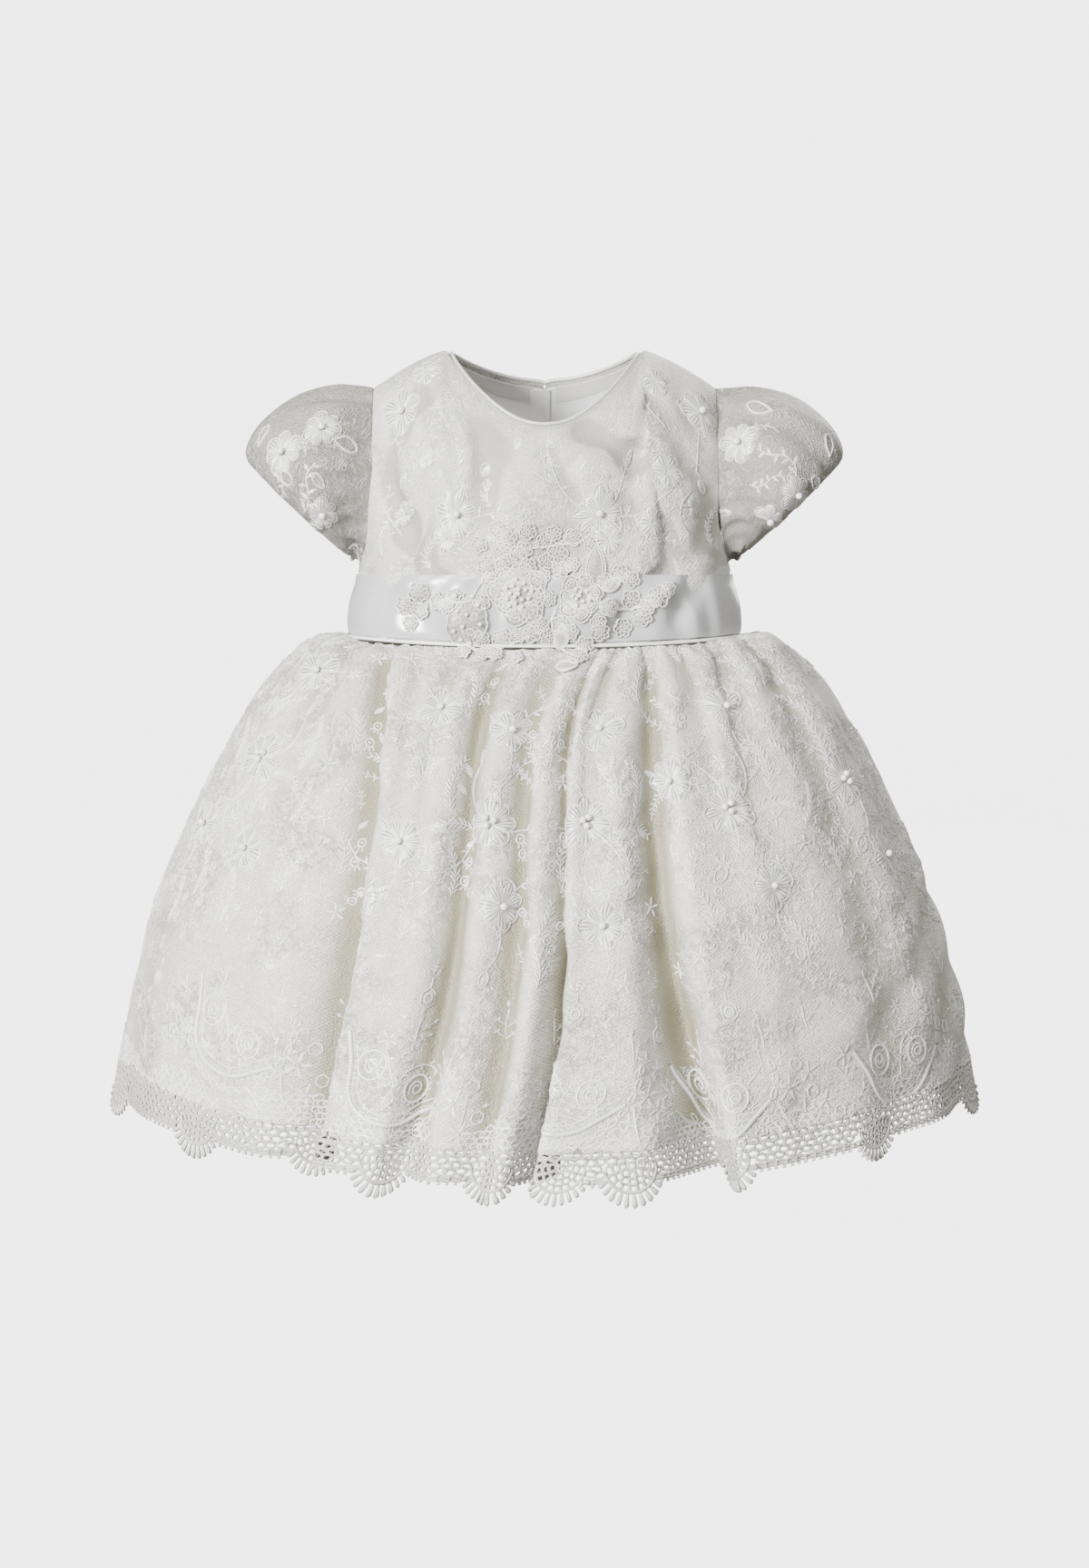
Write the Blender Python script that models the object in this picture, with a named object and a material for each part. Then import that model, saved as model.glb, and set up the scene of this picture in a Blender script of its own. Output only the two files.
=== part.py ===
"""A baby's christening dress, filled out as it is when worn, in metres with +Z up.

The front faces -Y and the wearer's left is +X. The origin is midway between the undersides of the
two shoulder seams, where the wearer's shoulders carry the dress. Every cloth is a wall whose outer
face follows one of three worked-out forms: the bodice, a puff sleeve and the gathered skirt.
"""

import math

import bpy
import numpy as np

MM = 0.001

# ---- Cloth thicknesses and seams -------------------------------------------------------------
SEAM_GAP = 0.35 * MM
BODICE_WALL = 1.5 * MM
SLEEVE_WALL = 1.2 * MM
SATIN_WALL = 1.0 * MM
LACE_WALL = 1.0 * MM
SASH_WALL = 1.2 * MM
LINING_WALL = 0.8 * MM
NECK_CORD_RADIUS = 1.1 * MM
WAIST_CORD_RADIUS = 0.9 * MM

# ---- Bodice ------------------------------------------------------------------------------------
WAIST_SIDE_Z = -147.5 * MM
WAIST_DIP = 4.0 * MM
NECK_POINT_X = 55.0 * MM
NECK_POINT_Z = 10.7 * MM
SHOULDER_END_X = 95.0 * MM
SHOULDER_DROP = 21.0 * MM
SHOULDER_CURVE = 1.3
FRONT_NECK_Z = -33.5 * MM
BACK_NECK_Z = -5.0 * MM
BACK_CORNER_DROP = 2.0 * MM
BACK_GAP = 1.0 * MM
CHEST_LEVEL = 0.45
SHOULDER_ROUNDNESS = 2.4
BODY_SQUARENESS = 2.3

# level: 0 at the waist seam, 1 on the shoulder ridge. Half width, depth to the front and to the back.
BODY_SECTIONS = (
    # level, half_width, front, back
    (0.00, 108.4 * MM, 66.0 * MM, 60.0 * MM),
    (0.12, 106.0 * MM, 66.0 * MM, 59.5 * MM),
    (0.24, 103.6 * MM, 66.3 * MM, 59.0 * MM),
    (0.45, 103.0 * MM, 67.0 * MM, 59.5 * MM),
    (0.75, 103.0 * MM, 66.0 * MM, 60.0 * MM),
    (1.00, 102.0 * MM, 64.0 * MM, 59.0 * MM),
)
# The edge of the panels: the side seam up to the underarm, then the armhole.
UNDERARM_LEVEL = 0.27
ARMHOLE_EDGES = (
    # level, half_width
    (0.27, 103.5 * MM),
    (0.31, 101.6 * MM),
    (0.38, 98.6 * MM),
    (0.50, 96.0 * MM),
    (0.70, 94.5 * MM),
    (1.00, 95.0 * MM),
)
BODICE_ROWS = (0.0, 0.14, 0.27, 0.40, 0.54, 0.67, 0.79, 0.87, 0.93, 0.972, 1.0)

# ---- Puff sleeves ------------------------------------------------------------------------------
SLEEVE_COLUMNS = 24
SLEEVE_RINGS = (
    # share, centre_x, centre_z, turn_deg, up, down, side, gather
    (0.00, 99.0 * MM, -58.0 * MM, 4.0, 46.0 * MM, 46.0 * MM, 33.0 * MM, 0.0 * MM),
    (0.14, 109.5 * MM, -58.0 * MM, 4.0, 48.0 * MM, 47.0 * MM, 41.0 * MM, 1.3 * MM),
    (0.34, 121.0 * MM, -61.0 * MM, 17.0, 49.0 * MM, 46.0 * MM, 47.0 * MM, 1.0 * MM),
    (0.56, 130.0 * MM, -66.0 * MM, 31.0, 47.0 * MM, 43.5 * MM, 48.5 * MM, 0.8 * MM),
    (0.76, 135.5 * MM, -72.0 * MM, 41.0, 43.5 * MM, 40.5 * MM, 45.5 * MM, 1.1 * MM),
    (0.90, 137.5 * MM, -77.0 * MM, 46.0, 38.5 * MM, 35.5 * MM, 38.5 * MM, 1.4 * MM),
    (1.00, 135.0 * MM, -80.0 * MM, 47.0, 31.0 * MM, 28.5 * MM, 31.0 * MM, 0.9 * MM),
)

# ---- Skirt -------------------------------------------------------------------------------------
SKIRT_PROFILE = (
    # along the cloth from the waist; side x, z; front y, z; back y
    (0 * MM, 108.4 * MM, -151.0 * MM, 66.5 * MM, -154.4 * MM, 60.5 * MM),
    (10 * MM, 118.0 * MM, -148.6 * MM, 73.2 * MM, -160.8 * MM, 67.6 * MM),
    (22 * MM, 129.4 * MM, -150.4 * MM, 82.0 * MM, -169.2 * MM, 76.6 * MM),
    (38 * MM, 142.6 * MM, -160.0 * MM, 92.4 * MM, -181.2 * MM, 87.8 * MM),
    (60 * MM, 157.4 * MM, -176.6 * MM, 105.5 * MM, -199.0 * MM, 101.4 * MM),
    (88 * MM, 173.1 * MM, -199.5 * MM, 120.5 * MM, -223.2 * MM, 117.0 * MM),
    (118 * MM, 187.5 * MM, -225.7 * MM, 134.5 * MM, -249.7 * MM, 131.0 * MM),
    (152 * MM, 201.6 * MM, -256.6 * MM, 148.2 * MM, -280.8 * MM, 145.0 * MM),
    (188 * MM, 214.8 * MM, -290.4 * MM, 161.0 * MM, -314.4 * MM, 158.0 * MM),
    (224 * MM, 225.8 * MM, -324.3 * MM, 171.7 * MM, -348.8 * MM, 169.0 * MM),
    (258 * MM, 233.4 * MM, -357.5 * MM, 180.4 * MM, -381.6 * MM, 178.0 * MM),
    (288 * MM, 238.6 * MM, -387.0 * MM, 187.0 * MM, -410.9 * MM, 185.0 * MM),
    (316 * MM, 242.6 * MM, -414.6 * MM, 192.4 * MM, -437.3 * MM, 190.0 * MM),
)
FOLD_END = 316 * MM  # how far down the cloth the gathers are drawn
FOLD_DRIFT = 45 * MM  # how far down the cloth a gather moves from its waist place to its hem place
GATHERS = (
    # waist_deg, hem_deg, its depth in mm near the waist, half way down and at the hem, its lean: how far
    # the trough tucks in under the fold on its left-hand side, as a share of its depth, and its bow_deg:
    # how far its path swings out half way down
    (-82.0, -74.0, 4.0, 1.5, 4.0, 0.0, 0.0),
    (-66.0, -46.0, 5.0, 1.2, 0.5, 0.0, 0.0),
    (-48.8, -32.4, 6.0, 13.0, 26.0, 0.3, 3.6),
    (-34.0, -27.8, 5.0, 1.0, 0.0, 0.0, 4.5),
    (-20.0, -25.8, 5.0, 1.0, 0.0, 0.0, 5.5),
    (-7.0, -20.5, 6.0, 14.0, 14.0, 0.3, 6.2),
    (6.0, -8.8, 5.5, 6.0, 5.0, 0.0, 5.0),
    (13.5, -4.3, 5.5, 10.0, 46.0, 0.5, 5.5),
    (19.5, 0.2, 5.0, 1.5, 0.0, 0.0, 5.5),
    (26.0, 22.7, 6.0, 16.0, 34.0, 0.4, -6.5),
    (38.0, 29.0, 5.0, 1.2, 0.0, 0.0, 0.0),
    (52.0, 33.5, 5.0, 1.2, 1.0, 0.0, 3.0),
    (68.0, 51.0, 5.5, 3.0, 4.0, 0.0, 3.0),
    (84.0, 72.0, 5.0, 2.0, 5.0, 0.0, 0.0),
    (99.0, 95.0, 5.0, 3.0, 4.0, 0.0, 0.0),
    (110.5, 110.0, 6.0, 9.0, 16.0, 0.2, 0.0),
    (121.5, 121.5, 5.0, 3.0, 2.0, 0.0, 0.0),
    (132.5, 132.0, 6.0, 14.0, 32.0, 0.3, 0.0),
    (143.5, 143.0, 5.0, 3.0, 0.0, 0.0, 0.0),
    (154.0, 153.0, 6.0, 11.0, 34.0, -0.3, 0.0),
    (164.5, 164.5, 5.0, 3.0, 2.0, 0.0, 0.0),
    (175.0, 175.5, 6.0, 15.0, 42.0, 0.4, 0.0),
    (185.5, 187.0, 5.0, 3.0, 0.0, 0.0, 0.0),
    (196.0, 198.0, 6.0, 10.0, 26.0, 0.3, 0.0),
    (207.0, 208.5, 5.0, 3.0, 2.0, 0.0, 0.0),
    (218.0, 219.0, 6.0, 14.0, 36.0, -0.35, 0.0),
    (229.5, 231.0, 5.0, 3.0, 0.0, 0.0, 0.0),
    (241.0, 243.0, 6.0, 9.0, 18.0, -0.2, 0.0),
    (252.5, 256.0, 5.0, 3.0, 4.0, 0.0, 0.0),
    (264.0, 268.5, 4.0, 3.0, 6.0, 0.0, 0.0),
)
GATHER_PLACES = (0.0, 0.3, 0.7)  # the columns of each gather: its trough and the two shoulders of its ridge
SATIN_HEM = 285 * MM
SKIRT_ROWS = (0 * MM, 11 * MM, 34 * MM, 88 * MM, 175 * MM, SATIN_HEM)

# ---- Openwork edging of the lace ---------------------------------------------------------------
EDGING_TOP = SATIN_HEM + 1.3 * MM
EDGING_VALLEY = 305 * MM
FAN_DROP = 10 * MM
FAN_HALF_WIDTH = 20 * MM
# Where the middles of the fans lie, along the hem from the wearer's right side seam.
FRONT_FANS = tuple(at * MM for at in (34, 136, 212, 285, 354, 468, 506, 596, 691, 808))
BACK_FANS = tuple(at * MM for at in (52, 148, 244, 340, 436, 532, 628, 724, 820))
GAPS_IN_A_ROW = 48  # of each half
BAR_SHARE = 0.26
UPPER_GAPS = (288.0 * MM, 293.5 * MM)
LOWER_GAPS = (296.0 * MM, 302.0 * MM)

# ---- Sash, applique and back fastening ---------------------------------------------------------
SASH_TOP_Z = -113.6 * MM
APPLIQUE_WALL = 1.2 * MM
APPLIQUE_CLEARANCE = 0.45 * MM
PETAL_RELIEF = 0.9 * MM
APPLIQUE_X = -7.4 * MM
APPLIQUE_Z = -131.2 * MM
SKIRT_TOP_SLOPE = 1.4
APPLIQUE_OUTLINE = (
    # turn_deg from the wearer's left upwards, reach
    (5, 76.5 * MM),
    (13, 62.0 * MM),
    (20, 54.0 * MM),
    (45, 44.0 * MM),
    (58, 33.0 * MM),
    (75, 31.0 * MM),
    (100, 29.0 * MM),
    (122, 31.0 * MM),
    (145, 44.0 * MM),
    (165, 52.0 * MM),
    (178, 72.0 * MM),
    (188, 66.0 * MM),
    (200, 46.0 * MM),
    (216, 42.0 * MM),
    (235, 29.0 * MM),
    (252, 35.0 * MM),
    (275, 35.0 * MM),
    (298, 38.0 * MM),
    (318, 41.0 * MM),
    (335, 52.0 * MM),
    (348, 66.0 * MM),
)
APPLIQUE_FLOWERS = (
    # x, z, radius
    (-13.5 * MM, -124.0 * MM, 17.0 * MM),
    (18.0 * MM, -127.0 * MM, 14.5 * MM),
    (-39.0 * MM, -139.0 * MM, 13.0 * MM),
)
PLACKET_LEFT = 3.0 * MM
PLACKET_RIGHT = 8.0 * MM
PLACKET_DROP = 2.5 * MM
PLACKET_ROWS = (1.0, 0.94, 0.86, 0.74, 0.56, 0.30, 0.02)
FACING_EDGES = (0.5 * MM, 6.0 * MM, 11.0 * MM)
BUTTON_RADIUS = 4.5 * MM
BUTTON_HEIGHT = 2.8 * MM
BUTTON_X = 6.5 * MM
BUTTON_LEVELS = (0.86, 0.62, 0.38)


# ---- Blender helpers -----------------------------------------------------------------------------
def clear_scene():
    for old in list(bpy.data.objects):
        bpy.data.objects.remove(old)


def material(name, colour, roughness):
    made = bpy.data.materials.new(name)
    made.use_nodes = True
    shader = made.node_tree.nodes["Principled BSDF"]
    shader.inputs["Base Color"].default_value = (*colour, 1.0)
    shader.inputs["Roughness"].default_value = roughness
    shader.inputs["Metallic"].default_value = 0.0
    return made


def add_mesh(name, points, faces, finish):
    mesh = bpy.data.meshes.new(name)
    mesh.from_pydata([tuple(map(float, p)) for p in points], [], faces)
    mesh.validate()
    mesh.shade_smooth()
    mesh.set_sharp_from_angle(angle=math.radians(50))
    mesh.materials.append(finish)
    made = bpy.data.objects.new(name, mesh)
    bpy.context.scene.collection.objects.link(made)
    return made


def add_cord(name, points, radius, finish):
    """A round cord along an open run of points, with its ends closed."""
    curve = bpy.data.curves.new(name, "CURVE")
    curve.dimensions = "3D"
    curve.bevel_depth = radius
    curve.bevel_resolution = 1
    curve.use_fill_caps = True
    run = curve.splines.new("POLY")
    run.points.add(len(points) - 1)
    for spot, place in zip(run.points, points):
        spot.co = (*map(float, place), 1.0)
    curve.materials.append(finish)
    made = bpy.data.objects.new(name, curve)
    bpy.context.scene.collection.objects.link(made)
    return made


# ---- Grids of points and walls -------------------------------------------------------------------
def table_value(table, at, column):
    """A smooth curve through one column of a table whose first column is the place."""
    places = [row[0] for row in table]
    values = [row[column] for row in table]
    at = min(max(at, places[0]), places[-1])
    k = min(max(int(np.searchsorted(places, at, side="right")) - 1, 0), len(places) - 2)
    span = places[k + 1] - places[k]
    share = (at - places[k]) / span

    def slope(i):
        low = max(i - 1, 0)
        high = min(i + 1, len(places) - 1)
        return (values[high] - values[low]) / (places[high] - places[low])

    start, end = slope(k) * span, slope(k + 1) * span
    square, cube = share**2, share**3
    return (
        values[k] * (2 * cube - 3 * square + 1)
        + start * (cube - 2 * square + share)
        + values[k + 1] * (3 * square - 2 * cube)
        + end * (cube - square)
    )


def face_normals(grid, closed):
    """Outward normals of a grid's cells. Rows run down the cloth and columns to the viewer's right."""
    right = np.roll(grid, -1, axis=1) if closed else grid[:, 1:]
    left = grid if closed else grid[:, :-1]
    across = right[1:] - left[:-1]
    down = left[1:] - right[:-1]
    normal = np.cross(down, across)
    return normal / np.maximum(np.linalg.norm(normal, axis=2, keepdims=True), 1e-12)


def moved_out(grid, distance, closed=False, seams=None):
    """The grid moved out so that each cell lies this far from where it was, negative for inwards.

    seams(row, column) gives the axes that a point on a seam may not leave, so that two panels
    which meet there stay apart.
    """
    rows, columns = grid.shape[:2]
    normals = face_normals(grid, closed)
    made = grid.copy()
    for i in range(rows):
        for j in range(columns):
            near = []
            for a in (i - 1, i):
                for b in (j - 1, j):
                    if closed:
                        b %= columns
                    if 0 <= a < normals.shape[0] and 0 <= b < normals.shape[1]:
                        near.append(normals[a, b])
            near = np.array(near)
            held = seams(i, j) if seams else ()
            near[:, list(held)] = 0
            near /= np.maximum(np.linalg.norm(near, axis=1, keepdims=True), 1e-9)
            step = np.linalg.solve(near.T @ near + 0.02 * np.eye(3), near.T @ np.ones(len(near)))
            size = np.linalg.norm(step)
            step *= min(size, 1.8) / max(size, 1e-9)
            made[i, j] = grid[i, j] + distance * step
    return made


def wall(name, outer, inner, finish, closed=False, holes=()):
    """A closed cloth wall between two grids, with its rims. holes names the cells cut through."""
    rows, columns = outer.shape[:2]
    cells = columns if closed else columns - 1
    points = np.concatenate([outer.reshape(-1, 3), inner.reshape(-1, 3)])
    below = rows * columns
    kept = np.ones((rows - 1, cells), bool)
    for i, j in holes:
        kept[i, j] = False

    def number(i, j, side):
        return side * below + i * columns + j % columns

    def is_kept(i, j):
        if closed:
            j %= cells
        return 0 <= i < rows - 1 and 0 <= j < cells and kept[i, j]

    faces = []
    for i in range(rows - 1):
        for j in range(cells):
            if not kept[i, j]:
                continue
            corners = ((i, j), (i + 1, j), (i + 1, j + 1), (i, j + 1))
            # Every cell is split along the same diagonal, so that nested walls keep their distance.
            for triangle in (corners[:3], (corners[0], *corners[2:])):
                faces.append([number(a, b, 0) for a, b in triangle])
                faces.append([number(a, b, 1) for a, b in reversed(triangle)])
            beyond = (((i, j - 1), 0), ((i + 1, j), 1), ((i, j + 1), 2), ((i - 1, j), 3))
            for cell, side in beyond:
                if not is_kept(*cell):
                    first, second = corners[side], corners[(side + 1) % 4]
                    rim = [number(*second, 0), number(*first, 0), number(*first, 1), number(*second, 1)]
                    faces.append(rim)
    used = sorted({k for face in faces for k in face})
    renumber = {old: new for new, old in enumerate(used)}
    return add_mesh(name, points[used], [[renumber[k] for k in face] for face in faces], finish)


# ---- The bodice's form ---------------------------------------------------------------------------
def waist_z(x):
    return WAIST_SIDE_Z - WAIST_DIP * (1 - min(1.0, abs(x) / BODY_SECTIONS[0][1]) ** 2)


def ridge_z(x):
    beyond = max(0.0, (abs(x) - NECK_POINT_X) / (SHOULDER_END_X - NECK_POINT_X))
    return NECK_POINT_Z - SHOULDER_DROP * beyond**SHOULDER_CURVE


def level_at(x, z):
    return (z - waist_z(x)) / (ridge_z(x) - waist_z(x))


def body_point(x, level, back):
    """A point on the outer face of the bodice, at this x and level, on its front or its back."""
    half = table_value(BODY_SECTIONS, level, 1)
    depth = table_value(BODY_SECTIONS, level, 3 if back else 2)
    closing = max(0.0, (level - CHEST_LEVEL) / (1 - CHEST_LEVEL))
    closing = math.sqrt(max(0.0, 1 - min(1.0, closing) ** SHOULDER_ROUNDNESS))
    share = min(1.0, abs(x) / half)
    round_side = (1 - share**BODY_SQUARENESS) ** (1 / BODY_SQUARENESS)
    y = depth * closing * round_side + SEAM_GAP / 2
    z = waist_z(x) + (ridge_z(x) - waist_z(x)) * level
    return np.array([x, y if back else -y, z])


def panel_edge(level):
    """The half width of a panel: to the side seam below the underarm, to the armhole above it."""
    if level <= UNDERARM_LEVEL:
        return table_value(BODY_SECTIONS, level, 1)
    return table_value(ARMHOLE_EDGES, level, 1)


def neck_z(x, back):
    low = BACK_NECK_Z if back else FRONT_NECK_Z
    return low + (NECK_POINT_Z - low) * min(1.0, abs(x) / NECK_POINT_X) ** 2


def top_level(share, back):
    """The level where a column ends: on the neckline, or on the shoulder seam beyond the neck point."""
    x = share * SHOULDER_END_X
    if abs(x) >= NECK_POINT_X - 0.1 * MM:
        return 1.0
    return level_at(x, neck_z(x, back))


def panel_column(share, level, back):
    """The point of a panel's column at a level. Columns crowd towards the side seam low down."""
    edge = panel_edge(level)
    crowd = max(0.0, 1 - level / 0.6)
    across = (1 - crowd) * share + crowd * math.sin(share * math.pi / 2)
    return body_point(edge * across, level, back)


def bodice_panel(shares, back):
    rows = []
    for row in reversed(BODICE_ROWS):
        rows.append([panel_column(s, top_level(s, back) * row, back) for s in shares])
    return np.array(rows)


# ---- The skirt's form ----------------------------------------------------------------------------
def gather_depth(gather, along):
    near, middle, hem = gather[2:5]
    places = (0, 20 * MM, 70 * MM, 150 * MM, 230 * MM, FOLD_END)
    depths = (0.8, near, 0.45 * near + 0.55 * middle, middle, (middle + hem) / 2, hem)
    return float(np.interp(along, places, depths)) * MM


def gather_angle(gather, along):
    waist, hem = gather[:2]
    swing = gather[6] * math.sin(math.pi * min(along / FOLD_END, 1.0))
    return hem + (waist - hem) * math.exp(-along / FOLD_DRIFT) + swing


def skirt_angle_and_fold(place, along):
    """place counts gathers round the skirt: whole at a trough, a half on the ridge after it.

    Gives the angle from the front, how deep the cloth lies in a gather there, and that gather's lean.
    """
    count = len(GATHERS)
    whole = math.floor(place)
    share = place - whole
    first, second = GATHERS[whole % count], GATHERS[(whole + 1) % count]
    start = gather_angle(first, along) + 360 * (whole // count)
    end = gather_angle(second, along) + 360 * ((whole + 1) // count)
    gather = first if share < 0.5 else second
    fold = gather_depth(gather, along) * (0.5 + 0.5 * math.cos(2 * math.pi * share))
    return math.radians(start + (end - start) * share), fold, gather[5]


def skirt_point(place, along):
    """A point on the outer face of the satin skirt, this far down the cloth from the waist seam."""
    angle, fold, lean = skirt_angle_and_fold(place, along)
    half = table_value(SKIRT_PROFILE, along, 1)
    depth = table_value(SKIRT_PROFILE, along, 3 if math.cos(angle) > 0 else 5)
    side_z = table_value(SKIRT_PROFILE, along, 2)
    middle_z = table_value(SKIRT_PROFILE, along, 4)
    squareness = 2.0 + 0.3 * math.exp(-along / FOLD_DRIFT)
    sine, cosine = math.sin(angle), math.cos(angle)
    x = half * math.copysign(abs(sine) ** (2 / squareness), sine)
    y = -depth * math.copysign(abs(cosine) ** (2 / squareness), cosine)
    out = np.array([x / half**2, y / depth**2])
    out /= np.linalg.norm(out)
    sideways = np.array([-out[1], out[0]])
    z = side_z * sine**2 + middle_z * cosine**2
    x, y = np.array([x, y]) - fold * out + lean * fold * sideways
    return np.array([x, y, z])


def skirt_seam_places():
    """Where the left and right side seams lie, as places round the skirt."""
    found = []
    for target in (-90.0, 90.0, 270.0):
        low, high = -2.0, len(GATHERS) + 1.0
        for _ in range(40):
            middle = (low + high) / 2
            if math.degrees(skirt_angle_and_fold(middle, SATIN_HEM)[0]) < target:
                low = middle
            else:
                high = middle
        found.append(low)
    return found


def halves_of_skirt():
    """The gather columns of the front and of the back, each ending just short of the side seams."""
    seams = skirt_seam_places()
    for name, start, end in (("front", *seams[:2]), ("back", *seams[1:])):
        places = [start]
        for whole in range(math.floor(start) - 1, math.ceil(end) + 1):
            for share in GATHER_PLACES:
                place = whole + share
                if start + 0.12 < place < end - 0.12:
                    places.append(place)
        places.append(end)
        yield name, places


def side_seam_shift(grid, distance):
    """Draws a half's two end columns back from the side seams."""
    made = grid.copy()
    for column, beside in ((0, 1), (-1, -2)):
        along = grid[:, beside] - grid[:, column]
        along /= np.linalg.norm(along, axis=1, keepdims=True)
        made[:, column] += along * distance
    return made


# ---- Pieces --------------------------------------------------------------------------------------
def make_bodice(finish, lining):
    halves = [0.1, 0.2, 0.3, 0.4, 0.5, NECK_POINT_X / SHOULDER_END_X, 0.7, 0.8, 0.9, 1.0]
    front_shares = [-s for s in reversed(halves)] + [0.0] + halves
    left_shares = [BACK_GAP / 2 / SHOULDER_END_X] + halves
    below_underarm = sum(1 for row in BODICE_ROWS if row <= UNDERARM_LEVEL)
    rows = len(BODICE_ROWS)

    def seams(shares, centre_column):
        def held(i, j):
            axes = set()
            if j in (0, len(shares) - 1) and j != centre_column and i >= rows - below_underarm:
                axes.add(1)
            if i == 0 and abs(shares[j]) * SHOULDER_END_X >= NECK_POINT_X - 0.1 * MM:
                axes.add(1)
            if j == centre_column:
                axes.add(0)
            return axes

        return held

    grids = {}
    front = bodice_panel(front_shares, back=False)
    held = seams(front_shares, None)
    wall("bodice_front", front, moved_out(front, -BODICE_WALL, seams=held), finish)
    grids["front"] = front
    left = bodice_panel(left_shares, back=True)
    down = left[1, 0] - left[0, 0]
    left[0, 0] += down * (BACK_CORNER_DROP / np.linalg.norm(down))
    # Seen from behind, the wearer's left half runs from the middle of the back to the left.
    for side, grid in (("left", left[:, ::-1]), ("right", left * np.array([-1, 1, 1]))):
        shares = left_shares[::-1] if side == "left" else left_shares
        centre = len(shares) - 1 if side == "left" else 0
        inner = moved_out(grid, -BODICE_WALL, seams=seams(shares, centre))
        wall(f"bodice_back_{side}", grid, inner, finish)
        grids[side] = grid
        make_lining(side, inner, seams(shares, centre), lining)
    return grids


def make_lining(side, inner, held, finish):
    """The satin lining of a back panel, and the strip that faces it below the neck."""
    outer = moved_out(inner, -SEAM_GAP, seams=held)[1:]
    under = moved_out(inner, -SEAM_GAP - LINING_WALL, seams=held)[1:]
    wall(f"back_lining_{side}", outer, under, finish)

    sheet = under[:, ::-1] if side == "left" else under
    runs = []
    for column in range(1, 6):
        down = sheet[:, column]
        lengths = np.concatenate([[0], np.cumsum(np.linalg.norm(np.diff(down, axis=0), axis=1))])
        runs.append([[np.interp(at, lengths, down[:, k]) for k in range(3)] for at in FACING_EDGES])
    strip = np.array(runs).transpose(1, 0, 2)
    if side == "left":
        strip = strip[:, ::-1]
    outer = moved_out(strip, -SEAM_GAP)
    wall(f"neck_facing_{side}", outer, moved_out(outer, -LINING_WALL), finish)


def make_placket(finish):
    """The underlap inside the back opening, below both rounded corners of the neck."""
    top = level_at(0, BACK_NECK_Z - PLACKET_DROP)
    xs = np.linspace(PLACKET_LEFT, -PLACKET_RIGHT, 3)
    sheet = np.array([[body_point(x, top * row, back=True) for x in xs] for row in PLACKET_ROWS])
    outer = moved_out(sheet, -BODICE_WALL - LINING_WALL - 3 * SEAM_GAP)
    wall("back_placket", outer, moved_out(outer, -LINING_WALL), finish)


def make_neck_cord(grids, finish):
    """Satin-covered cord along the neckline, open at the middle of the back."""
    run, normals = [], []
    for name, back in (("left", True), ("front", False), ("right", True)):
        grid = grids[name]
        middle = moved_out(grid, -BODICE_WALL / 2)
        facing = face_normals(grid, closed=False)[0]
        facing = np.concatenate([facing[:1], facing[1:] + facing[:-1], facing[-1:]])
        reach = NECK_POINT_X + (-1 if back else 1) * 0.1 * MM
        for j in reversed(range(grid.shape[1])):
            if abs(grid[0, j, 0]) <= reach:
                run.append(middle[0, j])
                normals.append(facing[j])
    run, normals = np.array(run), np.array(normals)
    along = np.gradient(run, axis=0)
    inward = np.cross(normals, along)
    inward /= np.linalg.norm(inward, axis=1, keepdims=True)
    towards_neck = (inward * (np.array([0, 0, NECK_POINT_Z + 20 * MM]) - run)).sum(axis=1)
    inward *= np.where(towards_neck > 0, 1, -1)[:, None]
    run += inward * (NECK_CORD_RADIUS + SEAM_GAP)
    for end, beside in ((0, 1), (-1, -2)):
        step = run[beside] - run[end]
        run[end] += step * (BACK_GAP - abs(run[end, 0])) / abs(step[0])
    add_cord("neck_cord", run, NECK_CORD_RADIUS, finish)


def waist_ring(level, out, count, gap):
    """Points round the bodice from the middle of the back, by the wearer's left side, and round again."""
    ring = []
    half = table_value(BODY_SECTIONS, level, 1) * 0.9999
    start = (gap / 2 / half) ** (BODY_SQUARENESS / 2)
    for k in range(count + 1):
        turn = start + (2 * math.pi - 2 * start) * k / count
        across = math.sin(turn)
        x = half * math.copysign(abs(across) ** (2 / BODY_SQUARENESS), across)
        ring.append(body_point(x, level, back=math.cos(turn) > 0))
    ring = np.array(ring)
    away = np.roll(ring, -1, axis=0) - np.roll(ring, 1, axis=0)
    away[0], away[-1] = ring[1] - ring[0], ring[-1] - ring[-2]
    normal = np.cross(away, (0, 0, 1))
    normal /= np.linalg.norm(normal, axis=1, keepdims=True)
    normal *= np.where((normal[:, :2] * ring[:, :2]).sum(axis=1) > 0, 1, -1)[:, None]
    return ring + normal * out


def make_sash(finish):
    """The satin band round the waist, its ends meeting at the middle of the back."""
    top = level_at(0, SASH_TOP_Z)
    clear = (WAIST_CORD_RADIUS + SEAM_GAP + 0.3 * MM) / (ridge_z(0) - waist_z(0))
    faces = []
    for out in (SEAM_GAP + SASH_WALL, SEAM_GAP):
        rows = []
        for share in (0.0, 0.5, 1.0):
            level = top + (clear - top) * share
            rows.append(waist_ring(level, out, 48, BACK_GAP)[::-1])
        faces.append(np.array(rows))
    for grid in faces:
        grid[0, :, 2] = SASH_TOP_Z
    wall("sash", faces[0], faces[1], finish)
    ring = waist_ring(0.0, WAIST_CORD_RADIUS + SEAM_GAP, 44, BACK_GAP)
    add_cord("waist_cord", ring, WAIST_CORD_RADIUS, finish)


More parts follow.
